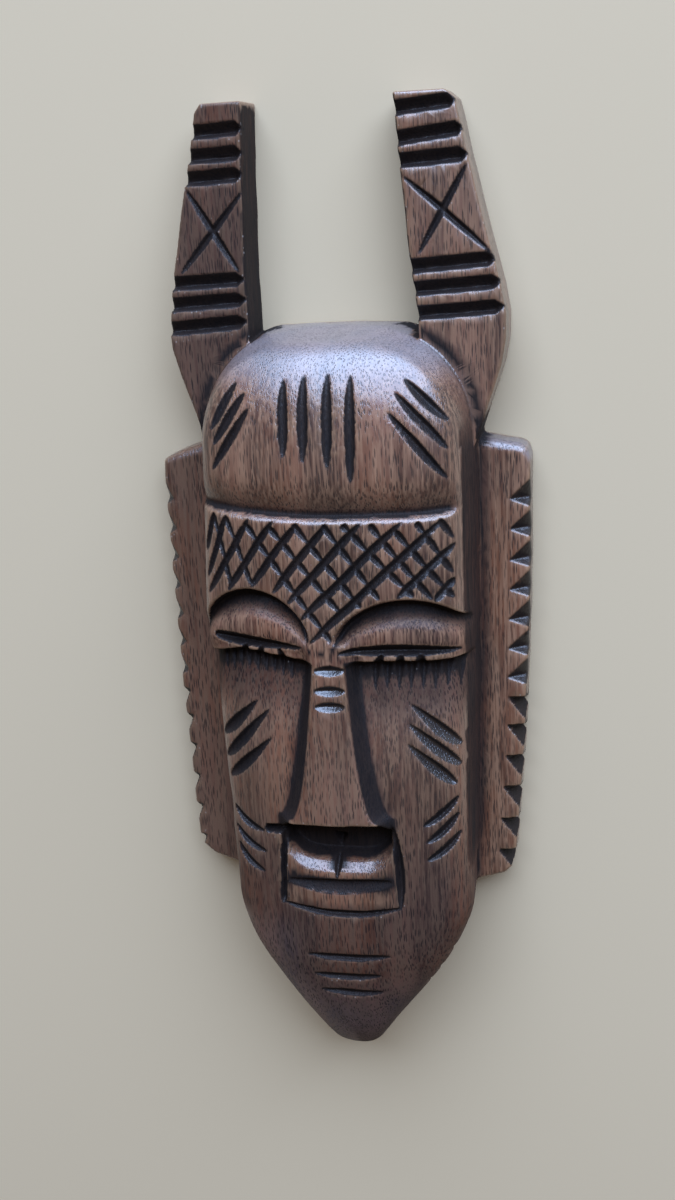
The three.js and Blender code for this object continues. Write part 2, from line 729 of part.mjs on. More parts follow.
// Hollow in the back, with sloping sides and a flat upper wall that a hook can hold
const HOLLOW_DEPTH = 22;
const HOLLOW_TOP_Y = 236;
const HOLLOW_MOUTH = { half: 31, low: 33, lowHalf: 16 };
const HOLLOW_FLOOR = { half: 26, low: 46, lowHalf: 14 };

function hollowPlan({ half, low, lowHalf }) {
  const rightSide = [[lowHalf, low], [half, low + 24], [half, HOLLOW_TOP_Y - 14], [half - 8, HOLLOW_TOP_Y]];
  const leftSide = rightSide.map(([x, y]) => [-x, y]);
  return [...rightSide, ...leftSide];
}

function hollow() {
  const mouth = raised(hollowPlan(HOLLOW_MOUTH), -1);
  const floor = raised(hollowPlan(HOLLOW_FLOOR), HOLLOW_DEPTH);
  return hull([...mouth, ...floor]);
}

function buildMask() {
  const join = (parts) => parts.reduce((sum, part) => sum.add(part));
  const blank = join([solid(faceGeometry()), ...FLANGES.map(flange), horn(LEFT_HORN), horn(RIGHT_HORN)]);
  const upper = [...hornCuts(), ...capCuts(), ...latticeCuts(), ...eyeCuts()];
  const lower = [...cheekCuts(), ...mouthCuts(), ...jawNicks(), ...flangeChips()];
  return blank.subtract(join([...upper, ...lower, hollow()]));
}

const wood = new THREE.MeshStandardMaterial({ color: 0x5a3d2c, roughness: 0.5, metalness: 0 });
const mask = new THREE.Mesh(geometryOf(buildMask()), wood);
mask.name = "mask";
mask.position.y = -LENGTH / 2;

const object = new THREE.Group();
object.add(mask);
export default object;
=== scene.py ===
"""Horned mask of oiled hardwood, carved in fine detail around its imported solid.

The mask is worked out as heights over a plan: the face, the flanges and the horns each have
an outline and a height at every place, and knife cuts and gouges lower those heights. The
forms are then joined in a block of small cells, and the skin of the wood is drawn through
the cells where the block changes from wood to air.
"""

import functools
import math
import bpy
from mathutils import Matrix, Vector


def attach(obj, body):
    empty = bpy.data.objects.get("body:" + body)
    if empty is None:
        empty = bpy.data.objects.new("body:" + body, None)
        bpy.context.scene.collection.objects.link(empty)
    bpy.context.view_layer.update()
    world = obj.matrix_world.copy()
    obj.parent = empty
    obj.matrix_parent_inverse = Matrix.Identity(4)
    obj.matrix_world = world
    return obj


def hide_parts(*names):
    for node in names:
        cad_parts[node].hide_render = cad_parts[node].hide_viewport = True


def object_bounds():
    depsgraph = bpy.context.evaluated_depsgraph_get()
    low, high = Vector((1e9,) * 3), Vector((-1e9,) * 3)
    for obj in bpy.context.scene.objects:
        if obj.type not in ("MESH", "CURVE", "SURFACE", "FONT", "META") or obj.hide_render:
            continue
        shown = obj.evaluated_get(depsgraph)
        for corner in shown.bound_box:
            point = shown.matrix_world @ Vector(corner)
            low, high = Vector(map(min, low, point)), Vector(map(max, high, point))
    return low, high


bl_info = {
    "name": "Carved Horned Mask",
    "version": (1, 0, 0),
    "blender": (4, 5, 0),
    "location": "3D View > Sidebar > Mask",
    "description": "Carves and finishes a horned wooden mask and sets its stage",
    "category": "Add Mesh",
}

import bpy
import numpy as np

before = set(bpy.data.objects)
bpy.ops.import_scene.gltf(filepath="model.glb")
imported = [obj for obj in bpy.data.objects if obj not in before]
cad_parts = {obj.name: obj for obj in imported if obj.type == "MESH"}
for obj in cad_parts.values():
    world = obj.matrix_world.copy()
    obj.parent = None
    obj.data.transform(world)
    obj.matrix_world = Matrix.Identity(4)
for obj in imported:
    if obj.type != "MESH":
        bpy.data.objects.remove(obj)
CAD_LOW, CAD_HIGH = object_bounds()

# The carving is set out in millimetres, with y measured up from the chin tip
MM = 0.001
LENGTH = (CAD_HIGH.y - CAD_LOW.y) / MM
HALF_SPAN = CAD_HIGH.x / MM
JAW_Y = 68.0
CHIN_FULL_HEIGHT_Y = 62.0
CAP_FOOT_Y = 205.0
CAP_TOP_Y = 252.5
FULL_HEIGHT_Y = 150.0
CENTRE_HEIGHT = 45.0
MOUTH_CENTRE_HEIGHT = 43.0
EDGE_HEIGHT = 30.0
JAW_EDGE_HEIGHT = 29.0
CHIN_TIP_HEIGHT = 19.0
CHIN_TIP_RUN = 6.0
CROWN_TIP_HEIGHT = 12.0
TIP_EDGE_DROP = 2.0
CROWN_ROUNDNESS = 2.9
CROWN_BEVEL = 3.3
FRONT_ROUNDNESS = 2.6
FLANGE_THICKNESS = 12.0
HORN_THICKNESS = 18.0

# Half width of the face at the jaw, cheek, temple and crown, for its left and right side, and
# how far the back stands out past the front. At the jaw the walls lean in towards the back.
SIDES = [
    {"y": JAW_Y, "left": 38.3, "right": 42.3, "draft": -1.8},
    {"y": 90.0, "left": 38.9, "right": 41.8, "draft": 1.4},
    {"y": 165.0, "left": 42.8, "right": 42.3, "draft": 2.9},
    {"y": 210.0, "left": 40.8, "right": 42.3, "draft": 3.2},
]
CHIN_TIP = {"left": 7.5, "right": 6.0, "draft": 0.8}

# Places and heights of nose and mouth. A pair holds the values at the nose's base and top.
NOSE_BASE_Y = 99.3
NOSE_TOP_Y = 152.0
NOSE_MIDDLE_X = -0.4
NOSE_TIP_HEIGHT = (CAD_HIGH.z - CAD_LOW.z) / MM
NOSE_BRIDGE_HEIGHT = 45.2
NOSE_HALF_WIDTHS = (14.2, 4.9)
NOSE_FLANK_RUNS = (4.2, 3.0)
NOSE_EDGE_DROP = 1.8
NOSE_FLANK_DROP = 2.6
LIP_TOP_Y = 82.6
LIP_END_RISE = 5.2
LIP_BEVEL_RUN = 4.2
MOUTH_HALF_WIDTH = 16.4
MOUTH_SIDE_RUN = 1.2
MOUTH_MIDDLE_X = -0.2
STEP_RUN = 0.8

# Depths of the carving
CAP_TUCK = 3.8
CAP_TUCK_RUN = 13.0
BAND_BEVEL = 1.2
LID_DEPTH = 2.6
LID_BULGE = 1.5
GOUGE_DEPTH = 6.5
UNDER_EYE_DEPTH = 9.0
UNDERCUT_DEPTH = 9.0
LIP_BEVEL_DEPTH = 3.4

# Cuts as start and end points
CAP_GOUGES = [
    ((-10.7, 239.6), (-10.8, 216.6)),
    ((-4.6, 241.0), (-4.7, 215.0)),
    ((2.7, 241.4), (2.6, 213.4)),
    ((9.6, 240.8), (9.5, 209.0)),
]
CAP_SLANTS = [
    ((-26.0, 239.0), (-34.6, 224.5)),
    ((-23.0, 236.0), (-34.0, 220.0)),
    ((-21.6, 231.5), (-34.8, 212.4)),
    ((25.4, 239.0), (38.2, 226.0)),
    ((22.7, 235.3), (38.2, 218.0)),
    ((20.8, 229.6), (38.0, 209.0)),
]
CHEEK_SLANTS = [
    ((-24.6, 137.4), (-38.6, 123.6)),
    ((-20.6, 135.0), (-37.8, 116.0)),
    ((-20.0, 125.6), (-36.6, 109.4)),
    ((23.8, 137.6), (40.0, 122.6)),
    ((23.2, 131.6), (39.6, 116.0)),
    ((23.0, 125.0), (38.2, 109.8)),
]
JAW_SLANTS = [
    ((-36.0, 99.4), (-25.0, 92.0)),
    ((-35.6, 92.2), (-24.8, 84.7)),
    ((-35.2, 85.9), (-25.7, 77.0)),
    ((38.8, 105.7), (27.6, 96.0)),
    ((38.8, 99.8), (28.3, 90.2)),
    ((39.2, 93.2), (28.4, 83.7)),
]
CHIN_BARS = [
    ((-13.2, 47.4), (15.6, 48.0)),
    ((-11.4, 39.4), (12.0, 40.0)),
    ((-9.6, 32.6), (12.2, 33.2)),
]
NOSE_NOTCHES = [
    ((-5.0, 149.3), (5.0, 149.5)),
    ((-5.0, 142.9), (5.0, 143.1)),
    ((-5.0, 137.8), (5.0, 138.0)),
]

# Around the mouth: a channel on each side, the arc below, the slit and the nick by the nostril
MOUTH_CUTS = [
    {"start": (-18.2, 94.0), "end": (-20.0, 65.5), "width": 2.2, "depth": 2.4, "profile": "even"},
    {"start": (17.6, 97.0), "end": (19.6, 66.0), "bend": 1.0, "width": 3.2, "depth": 2.8},
    {"start": (-20, 66.8), "end": (20.4, 67), "bend": -3, "width": 2.8, "depth": 2.0, "lean": -0.4},
    {"start": (-17.6, 75), "end": (17.2, 76.2), "bend": -2.2, "width": 5.8, "depth": 2.6, "lean": 1.7},
    {"start": (-25, 93), "end": (-10, 94.4), "width": 3.4, "depth": 3.6, "lean": -0.6, "profile": "even"},
]

# Eyes: the slit across each lid, three nicks in the rim below it as place on the slit, place
# on the step and width, and the row of pointed lashes below the step
EYES = [
    {
        "slit": {"start": (-38.0, 158.7), "end": (-8.4, 156.3), "width": 4.2, "profile": "blunt"},
        "nicks": [(-27.7, -28.0, 2.8), (-22.4, -22.7, 2.8), (-16.4, -15.1, 2.8)],
        "lashes": {"places": np.linspace(-36.4, -13.6, 9), "length": 9.4, "width": 3.0},
    },
    {
        "slit": {"start": (3.0, 155.0), "end": (40.6, 154.7), "width": 4.3, "bend": 0.8},
        "nicks": [(16.4, 15.2, 3.4), (22.1, 21.9, 3.4), (28.2, 28.3, 4.2)],
        "lashes": {"places": np.linspace(13.4, 39.6, 8), "length": 12.0, "width": 3.8},
    },
]

# Levels of the nicks in the right edge of the jaw, how far they bite into it, and what share
# of that is left at the back
JAW_NICKS = [48.4, 41.4, 36.0]
NICK_DEPTH = 2.8
NICK_BACK_SHARE = 0.4

HORN_BARS = [
    ((-42.0, 311.8), (-24.6, 312.4)),
    ((-43.0, 304.8), (-25.0, 305.2)),
    ((-45.0, 298.2), (-25.2, 299.2)),
    ((-51.0, 267.0), (-26.6, 268.0)),
    ((-53.0, 260.4), (-26.4, 261.8)),
    ((-53.5, 253.2), (-26.6, 255.0)),
    ((20.6, 315.4), (40.0, 317.0)),
    ((21.4, 306.8), (42.4, 309.0)),
    ((22.0, 300.6), (43.6, 301.6)),
    ((25.0, 270.0), (52.0, 271.8)),
    ((25.6, 263.4), (53.4, 265.0)),
    ((26.4, 256.0), (54.0, 257.6)),
]
HORN_CROSSES = [
    ((-43.8, 295.4), (-28.0, 269.3)),
    ((-25.6, 294.2), (-47.6, 269.3)),
    ((23.4, 296.4), (50.0, 273.2)),
    ((43.0, 299.2), (27.6, 273.0)),
]

# Lattice cuts: place at the top of the band and lean sideways for each step down
LATTICE_TOP_Y = 196.0
LATTICE_HALF_WIDTH = 39.5
LATTICE_HEIGHT = 56.0
LATTICE_DOWN_LEFT = [
    (-36.1, 0.34), (-31.8, 0.42), (-24.2, 0.65), (-16.3, 0.72), (-8.2, 0.78), (1.3, 0.83),
    (11.3, 0.94), (23.5, 1.05), (35.0, 1.08), (46.6, 1.06), (55.6, 0.91),
]
LATTICE_DOWN_RIGHT = [
    (-34.8, 0.22), (-30.1, 0.35), (-24.0, 0.68), (-17.0, 0.78), (-8.5, 0.75), (0.5, 0.7),
    (6.7, 0.9), (14.8, 0.75), (21.0, 0.75), (29.0, 0.62), (36.0, 0.6),
]

# Outlines of the horns, from the root up the outer edge and back down the inner edge
LEFT_HORN = [
    (-43.6, 214), (-44.8, 222.6), (-47.3, 230.7), (-50, 238.7), (-52, 246.5), (-52.3, 252.5),
    (-50.8, 264), (-46, 287.8), (-41.2, 308.2), (-39.4, 317.5), (-37.4, LENGTH),
    (-24.8, LENGTH), (-25.6, 300), (-26.6, 268), (-26.5, 250), (-25, 214),
]
RIGHT_HORN = [
    (43, 213), (46, 221.6), (49.6, 232), (52.3, 240), (53.9, 248), (54, 255),
    (52.5, 263.6), (48, 281), (43.2, 300.5), (41, 311), (39.4, 317.5), (36.5, LENGTH),
    (21.4, LENGTH), (22.8, 298), (25.4, 270), (27.3, 252.5), (27, 214),
]

# Flanges: how far each is drawn in at the jaw, its end corners, and for its upper and lower
# chips how far in their tips lie and how deep they run
FLANGE_TOP_Y = 214.0
FLANGE_HEAD_Y = 205.0
FLANGE_FOOT_Y = 72.0
FLANGE_ROOT_X = 35.0
FLANGE_HEAD_ROUNDING = 4.0
FLANGES = [
    {
        "side": -1,
        "drawn_in": 2.6,
        "foot": [(-39, 62.5), (-52.8, 67.4), (-57.2, 71.6)],
        "head": [(-59.2, 210.8), (-54, 213), (-43, 216.6)],
        "insets": (2.8, 2.8),
        "depths": (5.0, 8.0),
    },
    {
        "side": 1,
        "drawn_in": 5.9,
        "foot": [(39, 62.5), (50.6, 66), (53.6, 69)],
        "head": [(59.4, 213.2), (57.5, 214.4), (44, 217)],
        "insets": (7.0, 6.0),
        "depths": (5.0, 18.0),
    },
]

# Upper and lower chips: levels of the tips, how far beyond the outer edge full depth lies, and
# for the upper and the lower wall how far above the tip its rim and its keel meet that line
CHIP_ROWS = [
    {"levels": np.linspace(197, 137, 7), "beyond": 1.0, "walls": [(7.8, 0.4), (-2.6, 0.4)], "power": 0.8},
    {
        "levels": 130 - 55.5 * np.linspace(0, 1, 6) ** 1.08,
        "beyond": 1.2,
        "walls": [(0.8, -5.2), (-9.4, -6.4)],
        "power": 1.0,
    },
]

# Hollow in the back. A pair holds the values at the back and at the hollow's floor.
HOLLOW_DEPTH = 22.0
HOLLOW_TOP_Y = 236.0
HOLLOW_HALF_WIDTHS = (30.8, 26.0)
HOLLOW_LOW_YS = (33.6, 46.0)
HOLLOW_LOW_HALF_WIDTHS = (15.9, 14.0)
HOLLOW_LOW_CORNER_RUN = 24.0
HOLLOW_TOP_CORNER = (8.0, 14.0)
SCALLOP_DEPTH = 0.35

# Radius of the small ball that tells corners from edges
BALL_RADIUS = 1.2

# Block of cells around the mask, with air on every side
BLOCK_LOW = (-62.0, -1.5, -1.5)
BLOCK_HIGH = (62.0, 321.5, 51.0)

# Stage, in metres and degrees. The paper lies a little below the flat back, so that the two
# surfaces don't share a plane, and the window is low above the horns.
PAPER_HALF = 3.0
PAPER_DROP = 0.0002
ROOM_STRENGTH = 0.2
WINDOW = {"shape": "RECTANGLE", "size": 3.6, "size_y": 3.0, "energy": 400}
WINDOW_PLACE = (0.5, 2.2, 1.4)
CAMERA = {"sensor_width": 36.0, "sensor_fit": "AUTO", "lens": 42.0, "clip_start": 0.01}
CAMERA_PLACE = (0.09373, 0.13445, 0.44631)
CAMERA_TURN = (-17.0586, 11.8242, -2.683)


def lerp(start, end, share):
    return start + (end - start) * share


def ramp(value, start, end):
    return np.clip((value - start) / (end - start), 0, 1)


def ease(value, start, end):
    share = ramp(value, start, end)
    return share * share * (3 - 2 * share)


def rounded(share, power):
    return (1 - np.clip(share, 0, 1) ** power) ** (1 / power)


def between(value, low, high):
    return (value > low) & (value < high)


def soft_min(a, b, reach):
    """The lower of a and b, with the corner between them rounded over the given reach."""
    share = np.clip(0.5 + 0.5 * (b - a) / reach, 0, 1)
    return b + (a - b) * share - reach * share * (1 - share)


def soft_max(a, b, reach):
    return -soft_min(-a, -b, reach)


def ripple(x, y, pitch, seed):
    """Smooth unevenness from -1 to 1: random values on a square grid of the given pitch,
    blended between the grid points with an eased share."""
    rng = np.random.default_rng(seed)
    table = rng.uniform(-1, 1, (64, 64))
    u, v = x / pitch + 7.3, y / pitch + 3.1
    i, j = np.floor(u).astype(int), np.floor(v).astype(int)
    s, t = ease(u - i, 0, 1), ease(v - j, 0, 1)
    at = lambda a, b: table[(i + a) % 64, (j + b) % 64]
    return lerp(lerp(at(0, 0), at(1, 0), s), lerp(at(0, 1), at(1, 1), s), t)


# Form of the blank


def crown_share(y):
    return rounded(ramp(y, CAP_FOOT_Y, CAP_TOP_Y), CROWN_ROUNDNESS)


def along_sides(y, name):
    """A value of SIDES at a level from the jaw up, eased from each level to the next."""
    value = SIDES[0][name] + 0 * y
    for below, above in zip(SIDES, SIDES[1:]):
        value = value + (above[name] - below[name]) * ease(y, below["y"], above["y"])
    return value


def half_width(y, name):
    """Half width of one side of the face's front: from a blunt tip the chin swells halfway
    between a sine and an eased line, and the crown closes on a power curve."""
    up = ramp(y, 0, JAW_Y)
    swell = (np.sin(0.5 * math.pi * up) + ease(up, 0, 1)) / 2
    tip = rounded(1 - ramp(y, 0, CHIN_TIP_RUN), 2)
    chin = lerp(CHIN_TIP[name], SIDES[0][name], swell) * tip
    return np.where(y < JAW_Y, chin, crown_share(y) * along_sides(y, name))


def front_half_width(x, y):
    return np.where(x < 0, half_width(y, "left"), half_width(y, "right"))


def wall_draft(y):
    chin = lerp(CHIN_TIP["draft"], SIDES[0]["draft"], ramp(y, 0, JAW_Y))
    return np.where(y < JAW_Y, chin, along_sides(y, "draft") * np.sqrt(crown_share(y)))


def middle_height(y):
    """Height of the middle line: a quick rise from the chin tip, nearly level, a round crown."""
    drop = (1 - np.clip(y, 0, CHIN_FULL_HEIGHT_Y) / CHIN_FULL_HEIGHT_Y) ** 2
    chin = lerp(CHIN_TIP_HEIGHT, MOUTH_CENTRE_HEIGHT, (1 - drop) ** 0.62)
    face = lerp(MOUTH_CENTRE_HEIGHT, CENTRE_HEIGHT, ramp(y, CHIN_FULL_HEIGHT_Y, FULL_HEIGHT_Y))
    crown = lerp(CROWN_TIP_HEIGHT, CENTRE_HEIGHT, crown_share(y))
    return np.where(y < CHIN_FULL_HEIGHT_Y, chin, np.where(y < CAP_FOOT_Y, face, crown))


def side_height(y):
    """Height of the face's side edges: a quarter round at the chin and a round crown."""
    chin = lerp(CHIN_TIP_HEIGHT - TIP_EDGE_DROP, JAW_EDGE_HEIGHT, rounded(1 - y / JAW_Y, 2))
    edge = lerp(JAW_EDGE_HEIGHT, EDGE_HEIGHT, ramp(y, JAW_Y, FULL_HEIGHT_Y))
    crown = lerp(CROWN_TIP_HEIGHT - TIP_EDGE_DROP, edge, crown_share(y))
    return np.where(y < JAW_Y, chin, crown)


def blank_height(x, y):
    """Section across the face: a flattened arch from side edge to side edge."""
    share = np.abs(x) / np.maximum(front_half_width(x, y), 0.1)
    return lerp(side_height(y), middle_height(y), rounded(share, FRONT_ROUNDNESS))


def with_crown_bevel(x, y, front):
    """Flat bevel along the crown's upper edge: the chord of the crown's own curve between
    its edge and a line a few millimetres below the edge."""
    half = np.where(x < 0, SIDES[-1]["left"], SIDES[-1]["right"])
    edge = lerp(CAP_FOOT_Y, CAP_TOP_Y, rounded(np.abs(x) / half, CROWN_ROUNDNESS))
    share = (edge - y) / CROWN_BEVEL
    chord = lerp(side_height(edge), blank_height(x, edge - CROWN_BEVEL), share)
    inside = (share > 0) & (share < 1) & (np.abs(x) < 0.8 * half)
    return np.where(inside, np.minimum(front, chord), front)


# Lines drawn across the face, each as a height y for a place x


def cap_line(x):
    """Foot of the cap: a shallow arc, lowest just right of the middle."""
    return 198.2 - 0.02 * x + 0.0012 * x * x


def step_line(x):
    """Step below the eyes: it rises and falls on the left and rises to a level on the right."""
    left = np.minimum(150.3 - 0.15 * x, 154.6 + 0.25 * (x + 30))
    right = np.minimum(150.4 + 0.09 * x, 151.4)
    return np.where(x < 0, left, right)


def lip_line(x):
    """Top of the lip: level in its middle and raised at its ends."""
    return LIP_TOP_Y + LIP_END_RISE * np.minimum(np.abs(x / MOUTH_HALF_WIDTH) ** 5, 1)


def arch(x, centre, foot, half_width, rise):
    return foot + rise * np.sqrt(np.maximum(0, 1 - ((x - centre) / half_width) ** 2))


def brow_line(x):
    left = arch(x, centre=-24.5, foot=156, half_width=18.2, rise=18.8)
    right = arch(x, centre=24, foot=152.5, half_width=23, rise=19.3)
    return np.maximum(np.where(x < -1, left, right), step_line(x) + 4)


def nose_base(x):
    """The nose's lower edge, level under the nose and lower beneath its flanks."""
    flanks = ramp(np.abs(x - NOSE_MIDDLE_X), 14.4, 17)
    return NOSE_BASE_Y - NOSE_EDGE_DROP - NOSE_FLANK_DROP * flanks


def nose_share(y):
    return ramp(y, NOSE_BASE_Y, NOSE_TOP_Y)


def nose_half_width(y):
    return lerp(*NOSE_HALF_WIDTHS, nose_share(y) ** 0.42)


def nose_foot_half_width(y):
    return nose_half_width(y) + lerp(*NOSE_FLANK_RUNS, nose_share(y))


def cap_tuck(x, y):
    """The groove at the foot of the cap ends a little before the right edge of the face."""
    return CAP_TUCK * np.where(x < 0, 1, ramp(front_half_width(x, y) - x, 1, 4.5))


def broad_depth(x, y):
    """Depth below the blank of the cap's tuck, the latticed band, the eye sockets and the
    hollows under the eyes, each a ramp or a power curve between the lines above."""
    cap, brow, step = cap_line(x), brow_line(x), step_line(x)
    tuck = cap_tuck(x, y) * (1 - ramp(y, cap, cap + CAP_TUCK_RUN)) ** 2
    rim = 0.4 * ramp(y, cap - 1.4 * BAND_BEVEL, cap) + 0.6 * ramp(y, cap - 0.4, cap)
    band = cap_tuck(x, y) * rim
    share = (y - step) / (brow - step)
    lid = LID_DEPTH - LID_BULGE * np.sin(math.pi * ramp(share, 0.12, 0.74))
    gouge = (GOUGE_DEPTH - LID_DEPTH) * ease(share, 0.55, 0.95)
    socket = (lid + gouge) * ease(brow - step, 4, 12) * ramp(y, brow, brow - STEP_RUN)
    fade = (1 - ramp(y, step, NOSE_BASE_Y)) ** 2.2
    under = UNDER_EYE_DEPTH * fade * ramp(y, step, step - STEP_RUN)
    return np.select([y >= cap, y >= brow, y >= step], [tuck, band, socket], under)


def with_nose(x, y, around):
    """The nose: a wedge with a flat front whose sides fall to the face around it."""
    away = np.abs(x - NOSE_MIDDLE_X)
    fall = ramp(away, nose_half_width(y), nose_foot_half_width(y))
    front = lerp(NOSE_TIP_HEIGHT, NOSE_BRIDGE_HEIGHT, nose_share(y)) - 0.5 * (away / 14) ** 2
    nose = np.maximum(around, lerp(front, around, fall))
    return np.where((y < nose_base(x)) | (y > NOSE_TOP_Y + 6), around, nose)


def mouth_depth(x, y):
    """Undercut between nose and lip, and the small bevel along the top of the lip."""
    away = np.abs(x - MOUTH_MIDDLE_X)
    inside = ramp(away, MOUTH_HALF_WIDTH + MOUTH_SIDE_RUN, MOUTH_HALF_WIDTH)
    lip = lip_line(x)
    base = nose_base(x)
    ends = ramp(y, lip, lip + STEP_RUN) * ramp(y, base, base - STEP_RUN)
    undercut = UNDERCUT_DEPTH * inside * ends
    bevel = LIP_BEVEL_DEPTH * inside * ramp(y, lip - LIP_BEVEL_RUN, lip) ** 1.2
    bevelled = (y >= lip - LIP_BEVEL_RUN) & (y < lip)
    return np.where((y >= lip) & (y < base), undercut, np.where(bevelled, bevel, 0))


def front_height(x, y):
    blank = with_crown_bevel(x, y, blank_height(x, y))
    return with_nose(x, y, blank - broad_depth(x, y) - mouth_depth(x, y))


# Knife cuts


def bulge(lead):
    """Profile of a cut that is deepest in its middle, or near its start if lead is below 1."""
    return lambda share: np.sqrt(np.clip(np.sin(math.pi * share**lead), 0, 1))


# How deep a cut runs along its length, for the share from its start to its end
PROFILES = {
    "spindle": bulge(1),
    "blunt": bulge(0.55),
    "club": bulge(1.6),
    "even": lambda share: np.minimum(1, 14 * np.minimum(share, 1 - share)),
    "tapered": lambda share: np.clip(6 * share * (1 - share), 0, 1) ** 0.5,
    "runs_out": lambda share: np.minimum(1, 8 * (1 - share)),
    "opens": lambda share: lerp(0.5, 1, share),
    "point": lambda share: 1 - share,
}


class Cuts:
    """Depth of all knife cuts over one plan grid. Where cuts cross, the deeper one counts."""

    def __init__(self, x, y):
        self.x, self.y = x, y
        self.depth = np.zeros_like(x)

    def add(
        self, start, end, bend=0.0, width=2.0, depth=1.0, lean=0.0, profile="spindle", hollow=1.15
    ):
        """One V cut. Along it the depth follows its profile, across it the depth falls to
        nothing at half the width, and the angle of the V stays the same. Bend moves the cut's
        middle to its left, and lean moves its keel to the left."""
        (x0, y0), (x1, y1) = start, end
        length = math.hypot(x1 - x0, y1 - y0)
        ux, uy = (x1 - x0) / length, (y1 - y0) / length
        along = ((self.x - x0) * ux + (self.y - y0) * uy) / length
        share = np.clip(along, 0, 1)
        across = (self.y - y0) * ux - (self.x - x0) * uy - 4 * share * (1 - share) * bend
        strength = np.maximum(PROFILES[profile](share), 1e-4)
        offset = across - lean * strength
        reach = (0.5 * width - np.sign(offset) * lean) * strength
        section = 1 - (np.abs(offset) / reach) ** hollow
        cut = depth * strength * np.clip(section, 0, 1) * ((along > -0.04) & (along < 1.01))
        self.depth = np.maximum(self.depth, cut)

    def add_all(self, lines, **settings):
        for line in lines:
            self.add(*line, **settings)


def lattice_span(place, side, lean):
    """How far down from its top a lattice cut starts and ends: it stays between the cap line
    and the brows, and inside the edges of the face."""
    down = np.arange(LATTICE_TOP_Y - cap_line(place) + BAND_BEVEL + 0.4, LATTICE_HEIGHT, 0.25)
    across = place + side * lean * down
    inside = (LATTICE_TOP_Y - down > brow_line(across) + 1.0) & (np.abs(across) < LATTICE_HALF_WIDTH)
    first = int(np.argmax(inside))
    stops = np.flatnonzero(~inside[first:])
    last = first + int(stops[0]) - 1 if len(stops) else len(down) - 1
    return down[first], down[max(last, first)]


def cut_lattice(cuts):
    """The wide lattice cuts run down to the left without a stop. The others are short stabs
    between them, each wide at its upper end."""
    for place, lean in LATTICE_DOWN_LEFT:
        first, last = lattice_span(place, -1, lean)
        if last - first < 4:
            continue
        ends = [(place - lean * down, LATTICE_TOP_Y - down) for down in (first, last)]
        cuts.add(*ends, width=1.5 + 1.4 * lean, depth=1.5, profile="tapered")
    for place, lean in LATTICE_DOWN_RIGHT:
        first, last = lattice_span(place, 1, lean)
        crossings = sorted((other - place) / (turn + lean) for other, turn in LATTICE_DOWN_LEFT)
        stops = [first, *(c for c in crossings if first + 1.5 < c < last - 1.5), last]
        for upper, lower in zip(stops, stops[1:]):
            upper, lower = upper + 0.4, lower - 0.5
            if lower - upper < 1.2:
                continue
            ends = [(place + lean * down, LATTICE_TOP_Y - down) for down in (upper, lower)]
            cuts.add(*ends, width=1.7 + lean, depth=1.3, lean=-0.4, profile="blunt")


def cut_eye(cuts, eye):
    cuts.add(**eye["slit"], depth=3.2, lean=-0.6)
    for top, foot, width in eye["nicks"]:
        rim = float(step_line(foot))
        cuts.add((top, rim + 2.4), (foot, rim - 0.5), width=width, depth=2.6, profile="opens")
    lashes = eye["lashes"]
    for place in lashes["places"]:
        top = float(step_line(place)) - 0.3
        tip = (place, top - lashes["length"])
        cuts.add((place, top), tip, width=lashes["width"], depth=1.7, profile="point")


def face_cuts(x, y):
    cuts = Cuts(x, y)
    cuts.add_all(CAP_GOUGES, width=3.5, depth=1.4, hollow=2.2)
    cuts.add_all(CAP_SLANTS, width=3.1, depth=1.7)
    cuts.add_all(CHEEK_SLANTS, width=3.9, depth=2.1, profile="club", hollow=1.5)
    cuts.add_all(JAW_SLANTS[:3], bend=-1.6, width=3.1, depth=1.8, lean=-0.6)
    cuts.add_all(JAW_SLANTS[3:], bend=0.8, width=3.1, depth=1.8, lean=0.6)
    cuts.add_all(CHIN_BARS, bend=-0.8, width=3.2, depth=1.7, lean=-0.5)
    cuts.add_all(NOSE_NOTCHES, width=3.5, depth=1.8, lean=-0.15)
    for cut in MOUTH_CUTS:
        cuts.add(**cut)
    for eye in EYES:
        cut_eye(cuts, eye)
    cut_lattice(cuts)
    return cuts.depth


def jaw_nicks(x, y):
    """How far three small nicks bite into the right side wall of the chin: each is steep above
    and runs out below."""
    bites = [ramp(y, place + 0.6, place) * ramp(y, place - 3.6, place) for place in JAW_NICKS]
    return NICK_DEPTH * sum(bites) * (x > 0)


def lip_notch(x, y):
    """The notch in the middle of the upper lip, deepest where it opens into the mouth."""
    cuts = Cuts(x, y)
    cuts.add((-0.6, 89), (-0.8, 76.6), width=9.5, depth=14, profile="point", hollow=1.4)
    return cuts.depth


def horn_cuts(x, y):
    cuts = Cuts(x, y)
    cuts.add_all(HORN_BARS, width=4.6, depth=2.6, lean=-1.2, profile="runs_out", hollow=1.3)
    cuts.add_all(HORN_CROSSES, width=2.4, depth=1.5)
    return cuts.depth


# Outlines


def outline_distance(x, y, points):
    """Signed distance to a closed outline, positive inside: the shortest distance to any
    edge, with its sign from how often a line to the right crosses the outline."""
    points = np.asarray(points, float)
    nearest = np.full(x.shape, 1e9)
    crossed = np.zeros(x.shape, bool)
    for (ax, ay), (bx, by) in zip(points, np.roll(points, -1, axis=0)):
        ex, ey = bx - ax, by - ay
        share = np.clip(((x - ax) * ex + (y - ay) * ey) / (ex * ex + ey * ey), 0, 1)
        nearest = np.minimum(nearest, (x - ax - share * ex) ** 2 + (y - ay - share * ey) ** 2)
        if ey != 0:
            crossed ^= ((ay > y) != (by > y)) & (x < ax + (y - ay) * ex / ey)
    return np.sqrt(nearest) * np.where(crossed, 1, -1)


